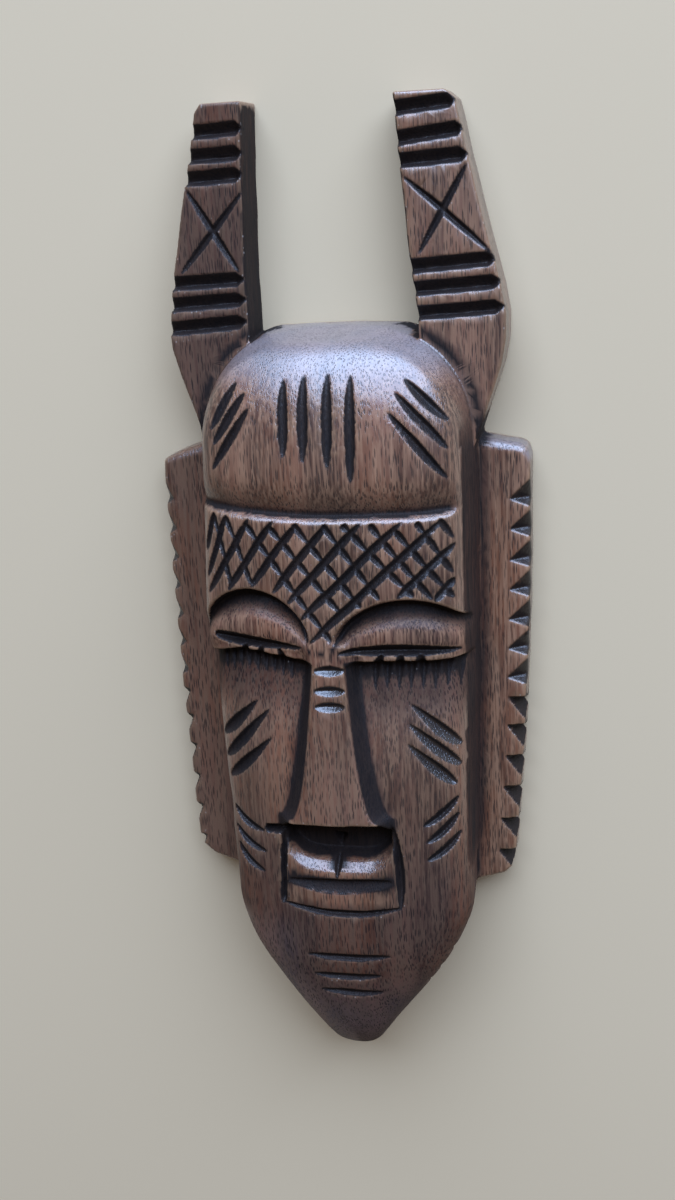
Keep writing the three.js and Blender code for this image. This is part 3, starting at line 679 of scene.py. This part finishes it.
def face_outline():
    """Outline of the face's front, with its points closest together at the chin tip and
    along the crown."""
    turn = np.linspace(0, 0.5 * math.pi, 26)
    tip = CHIN_TIP_RUN * (1 - np.cos(turn[::3]))
    sides = np.linspace(CHIN_TIP_RUN + 2, CAP_FOOT_Y, 44)
    crown = lerp(CAP_FOOT_Y, CAP_TOP_Y, np.sin(turn) ** (2 / CROWN_ROUNDNESS))
    levels = np.concatenate([tip, sides, crown[1:]])
    right = np.stack([half_width(levels, "right"), levels], axis=1)
    left = np.stack([-half_width(levels, "left"), levels], axis=1)
    return np.concatenate([right, left[-2:0:-1]])


def flange_edge(y, shape):
    up = ramp(y, FLANGE_FOOT_Y, FLANGE_TOP_Y)
    return shape["side"] * (HALF_SPAN - shape["drawn_in"] * (1 - up) ** 2.3)


def flange_outline(shape):
    root = shape["side"] * FLANGE_ROOT_X
    heights = np.linspace(FLANGE_FOOT_Y + 2, FLANGE_TOP_Y - 4, 9)
    outer = [(float(flange_edge(h, shape)), float(h)) for h in heights]
    return [(root, 60), *shape["foot"], *outer, *shape["head"], (root, 217.5)]


def line_share(x, y, start, end, inner):
    """Distance from the line through start and end, measured so that inner lies at 1."""
    nx, ny = end[1] - start[1], start[0] - end[0]
    reach = (inner[0] - start[0]) * nx + (inner[1] - start[1]) * ny
    return ((x - start[0]) * nx + (y - start[1]) * ny) / reach


def chip_depth(x, y, shape):
    """Depth of the chips along a flange. Each is a pit with two flat walls that start at its
    tip, and the shallower one counts. The power bends the lower wall."""
    side, depth = shape["side"], np.zeros_like(x)
    for row, inset, deepest in zip(CHIP_ROWS, shape["insets"], shape["depths"]):
        for level in row["levels"]:
            edge = float(flange_edge(level, shape))
            tip, out = (edge - side * inset, level), edge + side * row["beyond"]
            upper, lower = [
                line_share(x, y, tip, (out, level + rim), (out, level + keel))
                for rim, keel in row["walls"]
            ]
            share = np.minimum(upper, np.clip(lower, 0, 1) ** row["power"])
            depth = np.maximum(depth, deepest * np.clip(share, 0, 1))
    return depth * (side * x > 0)


def hollow_distance(x, y, z):
    """Distance inside the walls of the scooped back: the smallest distance to its sloping
    side walls, its foot, its low and high corners and its flat upper wall."""
    down = np.clip(z, 0, HOLLOW_DEPTH) / HOLLOW_DEPTH
    half, low = lerp(*HOLLOW_HALF_WIDTHS, down), lerp(*HOLLOW_LOW_YS, down)
    low_half = lerp(*HOLLOW_LOW_HALF_WIDTHS, down)
    away, run = np.abs(x), HOLLOW_LOW_CORNER_RUN
    corner = (y - low) * (half - low_half) - (away - low_half) * run
    across, along = HOLLOW_TOP_CORNER
    top_corner = (HOLLOW_TOP_Y - along - y) * across - (away - half) * along
    walls = [
        half - away,
        y - low,
        corner / np.hypot(run, half - low_half),
        HOLLOW_TOP_Y - y,
        top_corner / math.hypot(across, along),
    ]
    return functools.reduce(np.minimum, walls)


# Skin of the wood


def drawn_skin(values, low, cell):
    """Closed surface where values pass through nothing, with air all around the block. Each
    cell that the surface crosses gets one point, the mean of the crossings on its twelve
    edges, and each crossed grid edge gets one face between the four cells around it."""
    inside = values > 0
    shape = np.array(values.shape) - 1
    unit = np.eye(3, dtype=int)
    corners = list(np.ndindex(2, 2, 2))
    at_corner = [inside[tuple(map(slice, c, c + shape))] for c in corners]
    filled = sum(full.astype(np.uint8) for full in at_corner)
    active = (filled > 0) & (filled < 8)
    cells = np.argwhere(active)
    number = np.full(active.shape, -1, np.int32)
    number[active] = np.arange(len(cells), dtype=np.int32)
    total = np.zeros((len(cells), 3))
    count = np.zeros(len(cells))
    for axis in range(3):
        for corner in corners:
            if corner[axis]:
                continue
            first = values[tuple((cells + corner).T)].astype(float)
            second = values[tuple((cells + corner + unit[axis]).T)].astype(float)
            crossed = (first > 0) != (second > 0)
            share = np.where(crossed, first / np.where(crossed, first - second, 1), 0)
            total += (corner + share[:, None] * unit[axis]) * crossed[:, None]
            count += crossed
    points = low + cell * (cells + total / count[:, None])
    faces = []
    for axis in range(3):
        b, c = unit[(axis + 1) % 3], unit[(axis + 2) % 3]
        edges = np.argwhere(np.diff(inside, axis=axis))
        ring = [edges, edges - b, edges - b - c, edges - c]
        quads = np.stack([number[tuple(r.T)] for r in ring], axis=1)
        outward = inside[tuple(edges.T)]
        quads[~outward] = quads[~outward][:, ::-1]
        faces.append(quads)
    return points, np.concatenate(faces)


def box_mean(values, radius):
    """Mean over a cube that reaches the given number of cells each way, one axis at a time."""
    for axis in range(values.ndim):
        pad = [(0, 0)] * values.ndim
        pad[axis] = (radius + 1, radius)
        total = np.cumsum(np.pad(values, pad, mode="edge"), axis=axis, dtype=np.float32)
        size = values.shape[axis]
        window = 2 * radius + 1
        upper = np.take(total, np.arange(window, window + size), axis=axis)
        lower = np.take(total, np.arange(0, size), axis=axis)
        values = (upper - lower) / window
    return values


def sample(values, places):
    """Values of a grid at fractional places, blended between the grid points around them."""
    places = np.clip(places, 0, np.array(values.shape) - 1.001)
    base = np.floor(places).astype(int)
    part = places - base
    result = 0
    for bits in np.ndindex(*(2,) * values.ndim):
        weight = np.prod(np.where(bits, part, 1 - part), axis=1)
        result = result + weight * values[tuple((base + bits).T)]
    return result


def mesh_from(name, points, faces):
    mesh = bpy.data.meshes.new(name)
    mesh.vertices.add(len(points))
    mesh.vertices.foreach_set("co", points.astype(np.float32).ravel())
    mesh.loops.add(faces.size)
    mesh.loops.foreach_set("vertex_index", faces.astype(np.int32).ravel())
    mesh.polygons.add(len(faces))
    starts = np.arange(0, faces.size, faces.shape[1], dtype=np.int32)
    mesh.polygons.foreach_set("loop_start", starts)
    mesh.update(calc_edges=True)
    return mesh


def vertex_values(collection, name):
    values = np.empty(len(collection) * 3, np.float32)
    collection.foreach_get(name, values)
    return values.reshape(-1, 3).astype(float)


def split_long_edges(points, faces, longest):
    """Halves the long edges of triangles until each is short, so that stain, painted shade,
    painted sheen and wear, which are blended between the points, don't spread over wide faces.
    A triangle becomes two, three or four, by how many of its sides are halved. The flat back
    stays as it is."""
    for _ in range(8):
        sides = np.sort(faces[:, [[0, 1], [1, 2], [2, 0]]].reshape(-1, 2), axis=1)
        edges, edge_of_side = np.unique(sides, axis=0, return_inverse=True)
        first, second = points[edges[:, 0]], points[edges[:, 1]]
        middles = (first + second) / 2
        long = (np.sum((first - second) ** 2, axis=1) > longest**2) & (middles[:, 2] > 0.3 * MM)
        if not long.any():
            break
        number = np.where(long, len(points) - 1 + np.cumsum(long), -1)
        points = np.concatenate([points, middles[long]])
        middle = number[edge_of_side.reshape(-1, 3)]
        halved = np.sum(middle >= 0, axis=1)
        # Each triangle is turned so that its one halved or one whole side comes first
        turn = np.where(halved == 1, np.argmax(middle, axis=1), np.argmin(middle, axis=1))
        order = (turn[:, None] + np.arange(3)) % 3
        a, b, c = np.take_along_axis(faces, order, axis=1).T
        p, q, r = np.take_along_axis(middle, order, axis=1).T
        patterns = {
            1: [(a, p, c), (p, b, c)],
            2: [(a, b, q), (a, q, r), (q, c, r)],
            3: [(a, p, r), (p, b, q), (r, q, c), (p, q, r)],
        }
        parts = [faces[halved == 0]]
        for count, triangles in patterns.items():
            chosen = halved == count
            parts += [np.stack(corners, axis=1)[chosen] for corners in triangles]
        faces = np.concatenate(parts)
    return points, faces


def add_object(scene, name, data, settings=None, place=(0, 0, 0)):
    """Adds an object at a place. Settings are its data's own properties."""
    for key, value in (settings or {}).items():
        setattr(data, key, value)
    thing = bpy.data.objects.new(name, data)
    thing.location = place
    scene.collection.objects.link(thing)
    return thing


def thinned(context, mesh, triangles):
    """Points and triangles of a mesh whose short edges are collapsed where it is nearly flat."""
    rough = add_object(context.scene, mesh.name, mesh)
    thinner = rough.modifiers.new("thinner", "DECIMATE")
    thinner.ratio = min(1.0, triangles / (2 * len(mesh.polygons)))
    thinner.use_collapse_triangulate = True
    thin = rough.evaluated_get(context.evaluated_depsgraph_get()).to_mesh()
    corners = np.empty(len(thin.loops), np.int32)
    thin.loops.foreach_get("vertex_index", corners)
    points = vertex_values(thin.vertices, "co")
    bpy.data.objects.remove(rough)
    return points, corners.reshape(-1, 3)


def set_attribute(mesh, name, values):
    attribute = mesh.attributes.new(name, "FLOAT", "POINT")
    attribute.data.foreach_set("value", np.clip(values, 0, 1).astype(np.float32))


def jaw_share(y):
    return ease(y, JAW_Y - 2, 50)


def residue_and_shade_zones(x, y, z, wall, facing):
    """Share of darkening in the sheltered places: black residue, painted shade beneath ledges,
    in recesses and on the sides away from the light, and a darkening towards the bottom of the
    face. Each place has an eased ramp, from full to none, and the largest of them counts. Wall is
    the distance inside the face's outline, facing is how far the surface looks forward."""
    away = np.abs(x - NOSE_MIDDLE_X)
    flank, foot = nose_half_width(y), nose_foot_half_width(y)
    beside_nose = ease(away, flank - 0.4, flank + 0.8)
    below_step = step_line(x) - y
    up_lid = (y - step_line(x)) / (brow_line(x) - step_line(x))
    above_cap = y - cap_line(x)
    outside = -wall - wall_draft(y)
    on_horn = (outside > -1) & between(z, 1, HORN_THICKNESS + 0.6)
    on_flange = (outside > -1) & between(z, 1, FLANGE_THICKNESS + 0.6)
    upright = ease(np.abs(facing), 0.55, 0.25)
    gap_foot = np.where(np.abs(x) > 24.7, 246, 254)
    between_horns = (np.abs(x) < 27.2) & between(y, gap_foot, LENGTH - 0.8)
    halved_at_left_jaw_edge = lerp(1, 0.5, ease(wall, 13, 3) * (x < 0) * jaw_share(y))
    lips = (np.abs(x) < 17.5) & between(y, 67, 86)
    darker_lower_face = np.where(lips, 0.22, lerp(0.27, 0.54, ease(y, 118, 60)) * ease(y, 150, 140))
    face = (wall > -0.3) & (facing > -0.2)
    front = [
        # Beneath the step below the eyes: residue and painted shadow of the step close to it, and painted
        # shade fading down the cheeks
        ease(below_step, 11, 3.5) * (below_step > -0.3) * beside_nose * ease(wall, 0.3, 2.5),
        0.58 * ease(below_step, 32, 9) * (below_step > -0.3) * beside_nose,
        # The eye sockets beneath the brows: residue and painted shade under the brow
        0.97 * ease(up_lid, 0.48, 0.9) * (up_lid < 1.02) * (below_step < -2),
        # The foot of the cap: residue and painted shade in the groove, and painted shade where the cap
        # curls in above it
        0.9 * ease(above_cap, 4, 0.2) * (above_cap > -0.5) * cap_tuck(x, y) / CAP_TUCK,
        0.3 * ease(above_cap, 12, 2) * (above_cap > -0.2),
        # Residue along the nose; residue and painted shadow of the nose in the undercut below it, reaching
        # down over the top of the lip's bevel
        beside_nose * ease(away, foot + 2.6, foot) * (y > nose_base(x) - 0.5) * (y < NOSE_TOP_Y),
        ease(y - lip_line(x), -0.4, 0.5) * ease(nose_base(x) - y, -0.3, 0.2) * ease(away, 18.4, 17),
        # Left of the mouth; darker towards the chin tip and towards the bottom of the face, both halved
        # near the left edge of the jaw; the slit of the mouth
        0.5 * ease(np.abs(x + 21.8), 2.6, 0.8) * ease(y, 64, 68) * ease(y, 95, 91),
        0.56 * ease(y, 40, 16) * halved_at_left_jaw_edge,
        darker_lower_face * halved_at_left_jaw_edge,
        0.95 * ease(np.abs(y - 74.2 - 0.007 * x * x), 3.6, 2) * (np.abs(x) < 18),
    ]
    sides = [
        # The walls of the face, and the inner sides of the horns
        0.76 * upright * (wall < 1) * (z > 11) * ease(y, 64, 84) * ease(y, 236, 214),
        0.82 * between_horns * (z < HORN_THICKNESS + 0.1) * (np.abs(facing) < 0.8),
        # Painted shade on the front of the left flange and of the horns, then residue and painted shade on
        # both where they meet the walls
        (0.38 * (x < 0) + 0.14 * (y > 217)) * (outside > 0.5) * ease(facing, 0.3, 0.8) * (y > 60),
        0.9 * ease(outside, 5, 0.5) * on_horn * between(y, FLANGE_TOP_Y, 252),
        0.75 * ease(outside, 3.5, 0.3) * on_flange * between(y, 60, FLANGE_TOP_Y),
    ]
    return np.maximum.reduce([*(zone * face for zone in front), *sides])


class Carving:
    """The plan grid, the heights and distances of each form over it, and the joined block."""

    def __init__(self, cell, unevenness, softness, arris):
        self.cell, self.softness, self.arris = cell, softness, arris
        self.low = np.array(BLOCK_LOW)
        self.axes = [np.arange(low, high, cell) for low, high in zip(BLOCK_LOW, BLOCK_HIGH)]
        x, y = self.x, self.y = np.meshgrid(*self.axes[:2], indexing="ij")
        warped = x + unevenness * ripple(x, y, 9, 11), y + unevenness * ripple(x, y, 11, 12)
        self.warped = warped
        self.wall = outline_distance(*warped, face_outline())
        tool_marks = 0.5 * unevenness * ripple(x, 0.35 * y, 5, 13)
        cut, notch = face_cuts(*warped), lip_notch(*warped)
        front = box_mean(box_mean(front_height(*warped), 1), 1) - cut
        # The notch in the lip starts from one level, a little above the lip
        level = middle_height(LIP_TOP_Y) + 0.2 - notch
        self.front = np.where(notch > 0, np.minimum(front, level), front) + tool_marks
        self.cut = np.maximum(cut, notch)
        self.horn_cut = horn_cuts(*warped)
        self.nick = jaw_nicks(*warped)
        self.chips = sum(chip_depth(*warped, shape) for shape in FLANGES)

    def block(self):
        """Joined forms: positive in the wood, negative in the air."""
        x, y, soft = self.x, self.y, self.softness
        z = self.axes[2][None, None, :].astype(np.float32)
        thick = lambda plan: plan[:, :, None].astype(np.float32)
        draft = wall_draft(y)
        sides = thick(self.wall + draft) - z * thick(draft / side_height(y))
        value = soft_min(thick(self.front) - z, sides, self.arris)
        value = np.minimum(value, sides - thick(self.nick) * lerp(NICK_BACK_SHARE, 1, ramp(z, 0, 18)))

        def joined(value, outline, top, reach):
            edge = outline_distance(*self.warped, outline)
            return soft_max(value, soft_min(thick(top) - z, thick(edge), reach), soft)

        for outline in (LEFT_HORN, RIGHT_HORN):
            value = joined(value, outline, HORN_THICKNESS - self.horn_cut, 1.6 * soft)
        reach = thick(lerp(1.6 * soft, FLANGE_HEAD_ROUNDING, ramp(y, FLANGE_HEAD_Y, FLANGE_TOP_Y)))
        for shape in FLANGES:
            value = joined(value, flange_outline(shape), FLANGE_THICKNESS - self.chips, reach)
        value = soft_min(value, z, soft)
        scallops = SCALLOP_DEPTH * np.abs(ripple(x, 0.6 * y, 6, 14))
        floor = thick(HOLLOW_DEPTH - scallops) - z
        hollow = np.minimum(hollow_distance(thick(x), thick(y), z), floor)
        return soft_min(value, -hollow, soft)

    def finish_values(self, block, places, facing):
        """Stain and painted shade, wear, dullness and a painted sheen with grey at surface points.
        Wood that fills more than half of a small ball is a corner that holds residue and is painted
        darker as shade, and wood that fills less is an edge that wears. Residue has dried dull except
        in a few polished cuts."""
        index = (places - self.low) / self.cell
        wood = np.clip(block / self.cell + 0.5, 0, 1)
        radius = max(1, round(BALL_RADIUS / self.cell))
        near, wide = [
            sample(box_mean(wood[::step, ::step, ::step], radius), index / step) for step in (1, 2)
        ]
        front, wall, cut, bar, chips = [
            sample(plan, index[:, :2])
            for plan in (self.front, self.wall, self.cut, self.horn_cut, self.chips)
        ]
        x, y, z = places.T
        zones = residue_and_shade_zones(x, y, z, wall, facing)
        in_cut = np.maximum(cut * (front - z < 4), bar * (y > 240) * (z > HORN_THICKNESS - 3.4))
        in_cut = ramp(in_cut, 0.02, 0.25)
        chip_floor = np.maximum(FLANGE_THICKNESS - chips - 2.5, 0.6)
        in_chip = ramp(chips, 0, 0.4) * between(z, chip_floor, FLANGE_THICKNESS + 0.4) * (y < 206)
        # Corners are darkened both as residue and as painted shade
        corner = np.maximum(ramp(near, 0.54, 0.72), 0.9 * ramp(wide, 0.56, 0.74))
        stain = np.maximum.reduce([in_cut, corner, zones, 0.92 * in_chip])
        wear = ramp(near, 0.46, 0.34) * (1 - 0.8 * in_cut)

        on_nose = (np.abs(x) < 7) & between(y, 134, 153)
        on_cheek = (x > 22) & between(y, 108, 139)
        on_lid = between(y, step_line(x), brow_line(x)) & (facing > 0)
        dull = [
            ramp(zones, 0.28, 0.55),
            0.9 * in_cut * ~(on_nose | on_cheek),
            in_chip * np.where(y < 133, 0.9, 0.5),
            0.88 * on_lid,
            0.85 * jaw_share(y),
        ]
        # Painted sheen: a grey-blue reflection of the window painted on the crown and the right flange's
        # top; the chin is greyed with the same colour towards its tip and its left side
        crown_half = np.where(z > HORN_THICKNESS + 0.4, 39, 24)
        on_crown = ease(y, 235, 246) * (np.abs(x) < crown_half) * (y < CAP_TOP_Y + 1)
        flange_top = (x > 45) & between(y, 209, 217) & (z < FLANGE_THICKNESS + 0.7)
        on_flange = 0.8 * ease(facing, 0.94, 0.7) * flange_top
        on_chin = 0.5 * ease(y, 44, 14) + 0.3 * ease(x, -8, -24) * jaw_share(y)
        bloom = np.maximum.reduce([on_crown, on_flange, on_chin]) * (z > 2)
        return {"stain": stain, "wear": wear, "dull": np.maximum.reduce(dull), "bloom": bloom}


# Materials


def linear(colour):
    """Linear colour from an sRGB hex value."""
    parts = [((colour >> shift) & 255) / 255 for shift in (16, 8, 0)]
    return [c / 12.92 if c <= 0.04045 else ((c + 0.055) / 1.055) ** 2.4 for c in parts] + [1.0]


def add_node(tree, kind, inputs=None, output=0, **settings):
    """Adds one node and gives one of its outputs. An input is a value or another node's
    output, by the name or number of the socket. Settings are the node's own properties."""
    node = tree.nodes.new("ShaderNode" + kind)
    for name, value in settings.items():
        setattr(node, name, value)
    for key, value in (inputs or {}).items():
        if isinstance(value, bpy.types.NodeSocket):
            tree.links.new(value, node.inputs[key])
        else:
            node.inputs[key].default_value = value
    return node.outputs[output] if len(node.outputs) else None


def new_material(name):
    material = bpy.data.materials.new(name)
    material.use_nodes = True
    material.node_tree.nodes.clear()
    return material, functools.partial(add_node, material.node_tree)


# Patterns of the wood: the texture, its width across the grain in millimetres, how many
# times longer than wide it is, and its detail
WOOD_PATTERNS = {
    "bands": ("TexNoise", 9.0, 14, 3.0),
    "streaks": ("TexNoise", 0.9, 24, 3.0),
    "patches": ("TexNoise", 24.0, 2.5, 2.0),
    "pore_rows": ("TexNoise", 5.0, 10, 2.0),
    "pores": ("TexVoronoi", 0.55, 9, 0.0),
    "pits": ("TexNoise", 0.7, 1.5, 2.0),
    "dust": ("TexVoronoi", 1.7, 1.3, 0.0),
}

# What a pattern is turned into: the range of values that it fades over, and the range it gives
FADES = {
    "pore_rows": (0.35, 0.6, 0.55, 1.0),
    "pores": (0.44, 0.26, 0.0, 1.0),
    "streaks": (0.3, 0.7, -0.14, 0.14),
    "dust": (0.17, 0.12, 0.0, 1.0),
}


def oiled_hardwood(colours):
    """Open-grained tropical hardwood, cut by knife, blackened, wiped and waxed: the eye sees
    upright grain with dense short pores, black residue and painted shade in the sheltered
    places, rubbed lighter edges, a painted grey sheen on the ends that face up and a satin
    gloss that mirrors the window."""
    material, node = new_material("oiled_hardwood")
    place = node("TexCoord", output="Object")
    patterns = {}
    for name, (kind, width_mm, stretch, detail) in WOOD_PATTERNS.items():
        along = node("Mapping", {"Vector": place, "Scale": (1, 1 / stretch, 1)})
        inputs = {"Vector": along, "Scale": 1 / (width_mm * MM), "Detail": detail}
        patterns[name] = node(kind, inputs)
    names = ("stain", "wear", "dull", "bloom")
    stain, wear, dull, bloom = [node("Attribute", output="Fac", attribute_name=n) for n in names]

    faded = {}
    for name, limits in FADES.items():
        ends = dict(zip(("From Min", "From Max", "To Min", "To Max"), limits))
        faded[name] = node("MapRange", {"Value": patterns[name], **ends})
    pores = node("Math", {0: faded["pores"], 1: faded["pore_rows"]}, operation="MULTIPLY")
    broken_stain_and_shade = node("Math", {0: stain, 1: faded["streaks"]}, operation="ADD")
    worn_specks = node("Math", {0: faded["dust"], 1: wear}, operation="MULTIPLY")

    # Each layer: where it lies, the range of values that it fades over, how strong it gets
    layers = [
        ("mid", patterns["bands"], 0.4, 0.6, 1.0),
        ("red", patterns["patches"], 0.45, 0.65, 0.5),
        ("light", patterns["streaks"], 0.4, 0.66, 0.6),
        # Painted sheen: grey over the crown, the right flange's top and the chin
        ("bloom", bloom, 0.0, 1.0, 0.55),
        ("pore", pores, 0.0, 1.0, 0.85),
        ("worn", wear, 0.1, 1.0, 0.5),
        # This black paints the residue and also the painted shade in recesses and under ledges
        ("residue_and_shade", broken_stain_and_shade, 0.12, 0.85, 0.95),
        ("dust", worn_specks, 0.1, 0.5, 0.2),
    ]
    colour = tuple(colours.dark)
    for name, value, low, high, strength in layers:
        fade = {"Value": value, "From Min": low, "From Max": high, "To Max": strength}
        inputs = {0: node("MapRange", fade), 6: colour, 7: tuple(getattr(colours, name))}
        colour = node("Mix", inputs, output=2, data_type="RGBA")

    # Dried residue hides the wax that shines on the rest
    wax = node("MapRange", {"Value": dull, "To Min": 1.0, "To Max": 0.03})

    # Pores are pits in the wood, and the residue has dried with a pitted skin
    pitted = node("Math", {0: patterns["pits"], 1: stain}, operation="MULTIPLY")
    raised = node("Math", {0: patterns["streaks"], 1: 0.4, 2: pitted}, operation="MULTIPLY_ADD")
    height = node("Math", {0: pores, 1: -0.7, 2: raised}, operation="MULTIPLY_ADD")
    bump = node("Bump", {"Strength": 0.5, "Distance": 0.15 * MM, "Height": height})
    coarse = node("Math", {0: pores, 1: dull}, operation="MAXIMUM")
    roughness = node("MapRange", {"Value": coarse, "To Min": 0.5, "To Max": 0.8})
    look = {
        "Base Color": colour,
        "Roughness": roughness,
        "Specular IOR Level": 0.16,
        "Coat Weight": wax,
        "Coat IOR": 1.6,
        "Coat Roughness": 0.28,
        "Normal": bump,
        "Coat Normal": bump,
    }
    node("OutputMaterial", {"Surface": node("BsdfPrincipled", look)})
    return material


def matte_paper(colour):
    """Plain studio paper: an even pale matte sheet."""
    material, node = new_material("matte_paper")
    look = {"Base Color": tuple(colour), "Roughness": 0.9}
    node("OutputMaterial", {"Surface": node("BsdfPrincipled", look)})
    return material


# Sizes and colours that a user would change


def length_property(name, description, millimetres, smallest):
    return bpy.props.FloatProperty(
        name=name, description=description, default=millimetres * MM, min=smallest * MM, unit="LENGTH"
    )


def colour_property(name, description, colour):
    return bpy.props.FloatVectorProperty(
        name=name, description=description, default=linear(colour), size=4, min=0, max=1, subtype="COLOR"
    )


class MaskSizes(bpy.types.PropertyGroup):
    cell: length_property("Cell", "Edge of the small cells that the skin is drawn through", 0.5, 0.3)
    unevenness: length_property("Unevenness", "How far hand work strays from the drawn lines", 0.2, 0)
    softness: length_property("Edge softness", "How far small edges are rounded by wear", 0.6, 0.1)
    arris: length_property("Arris", "How far the long edge around the face is rounded", 3.2, 0.2)
    longest_edge: length_property("Longest edge", "Longest edge that flat places are left with", 4.0, 1.0)
    triangles: bpy.props.IntProperty(
        name="Triangles", description="Triangles before the long edges are split", default=120000, min=20000
    )


class MaskColours(bpy.types.PropertyGroup):
    dark: colour_property("Dark wood", "Darkest bands of the wood", 0x3A251C)
    mid: colour_property("Wood", "Most of the wood", 0x634434)
    red: colour_property("Red wood", "Warm patches of the wood", 0x6E3F26)
    light: colour_property("Light streaks", "Palest streaks along the grain", 0x8A684F)
    pore: colour_property("Pores", "Open pores", 0x1C110D)
    worn: colour_property("Worn edges", "Edges rubbed by handling", 0x8A6C50)
    # This black paints residue and painted shade alike
    residue_and_shade: colour_property("Residue", "Black residue in the sheltered places", 0x0C0A0B)
    # Painted sheen: this grey paints the window's reflection on the ends that face up, and greys the chin
    bloom: colour_property("Bloom", "Grey haze of old wax on the ends that face up", 0x757579)
    dust: colour_property("Dust", "Pale specks on worn edges", 0xB8B0A8)
    floor: colour_property("Floor", "Paper that the mask lies on", 0xB09D7E)
    window: colour_property("Window", "Light from the window", 0xBBD4FF)
    room: colour_property("Room", "Light from the rest of the room", 0xFFE8D0)


class MASK_OT_carve(bpy.types.Operator):
    """Carve the mask from its plan heights and finish it as oiled hardwood"""

    bl_idname = "horned_mask.carve"
    bl_label = "Carve mask"

    def execute(self, context):
        sizes = context.scene.mask_sizes
        names = ("cell", "unevenness", "softness", "arris")
        carving = Carving(*(getattr(sizes, name) / MM for name in names))
        block = carving.block()
        points, faces = drawn_skin(block, carving.low, carving.cell)
        offset = np.array([0, -LENGTH / 2, 0])
        skin = mesh_from("rough_skin", (points + offset) * MM, faces)
        points, triangles = thinned(context, skin, sizes.triangles)
        points, triangles = split_long_edges(points, triangles, sizes.longest_edge)
        mesh = mesh_from("carved_mask", points, triangles)
        places = vertex_values(mesh.vertices, "co") / MM - offset
        facing = vertex_values(mesh.vertex_normals, "vector")[:, 2]
        for name, values in carving.finish_values(block, places, facing).items():
            set_attribute(mesh, name, values)
        mesh.polygons.foreach_set("use_smooth", np.ones(len(mesh.polygons), bool))
        mesh.materials.append(oiled_hardwood(context.scene.mask_colours))
        mask = add_object(context.scene, "carved_mask", mesh)
        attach(mask, "root")
        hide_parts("mask")
        print("carved mask:", len(mesh.polygons), "faces from", len(faces))
        return {"FINISHED"}


class MASK_OT_stage(bpy.types.Operator):
    """Set the pale floor, the window, the room light and the camera"""

    bl_idname = "horned_mask.stage"
    bl_label = "Set stage"

    def execute(self, context):
        scene = context.scene
        colours = scene.mask_colours
        corners = PAPER_HALF * np.array([[-1, -1, 0], [1, -1, 0], [1, 1, 0], [-1, 1, 0]])
        sheet = mesh_from("floor", corners, np.array([[0, 1, 2, 3]]))
        sheet.materials.append(matte_paper(colours.floor))
        floor = add_object(scene, "floor", sheet, place=(0, 0, -PAPER_DROP))

        world = bpy.data.worlds.new("studio")
        world.use_nodes = True
        background = world.node_tree.nodes["Background"]
        background.inputs["Color"].default_value = tuple(colours.room)
        background.inputs["Strength"].default_value = ROOM_STRENGTH
        scene.world = world

        light = bpy.data.lights.new("window", "AREA")
        light.color = tuple(colours.window)[:3]
        window = add_object(scene, "window", light, WINDOW, WINDOW_PLACE)
        window.rotation_euler = (-window.location).to_track_quat("-Z", "Y").to_euler()

        camera = add_object(scene, "camera", bpy.data.cameras.new("camera"), CAMERA, CAMERA_PLACE)
        camera.rotation_euler = [math.radians(angle) for angle in CAMERA_TURN]
        scene.camera = camera
        scene.view_settings.view_transform = "Standard"
        return {"FINISHED"}


class MASK_PT_panel(bpy.types.Panel):
    bl_label = "Carved horned mask"
    bl_space_type = "VIEW_3D"
    bl_region_type = "UI"
    bl_category = "Mask"

    def draw(self, context):
        for group in (context.scene.mask_sizes, context.scene.mask_colours):
            for name in type(group).__annotations__:
                self.layout.prop(group, name)
        self.layout.operator(MASK_OT_carve.bl_idname)
        self.layout.operator(MASK_OT_stage.bl_idname)


CLASSES = (MaskSizes, MaskColours, MASK_OT_carve, MASK_OT_stage, MASK_PT_panel)


def register():
    for cls in CLASSES:
        bpy.utils.register_class(cls)
    bpy.types.Scene.mask_sizes = bpy.props.PointerProperty(type=MaskSizes)
    bpy.types.Scene.mask_colours = bpy.props.PointerProperty(type=MaskColours)


def unregister():
    del bpy.types.Scene.mask_colours
    del bpy.types.Scene.mask_sizes
    for cls in reversed(CLASSES):
        bpy.utils.unregister_class(cls)


def main():
    register()
    bpy.ops.horned_mask.stage()
    bpy.ops.horned_mask.carve()


if __name__ == "__main__":
    main()
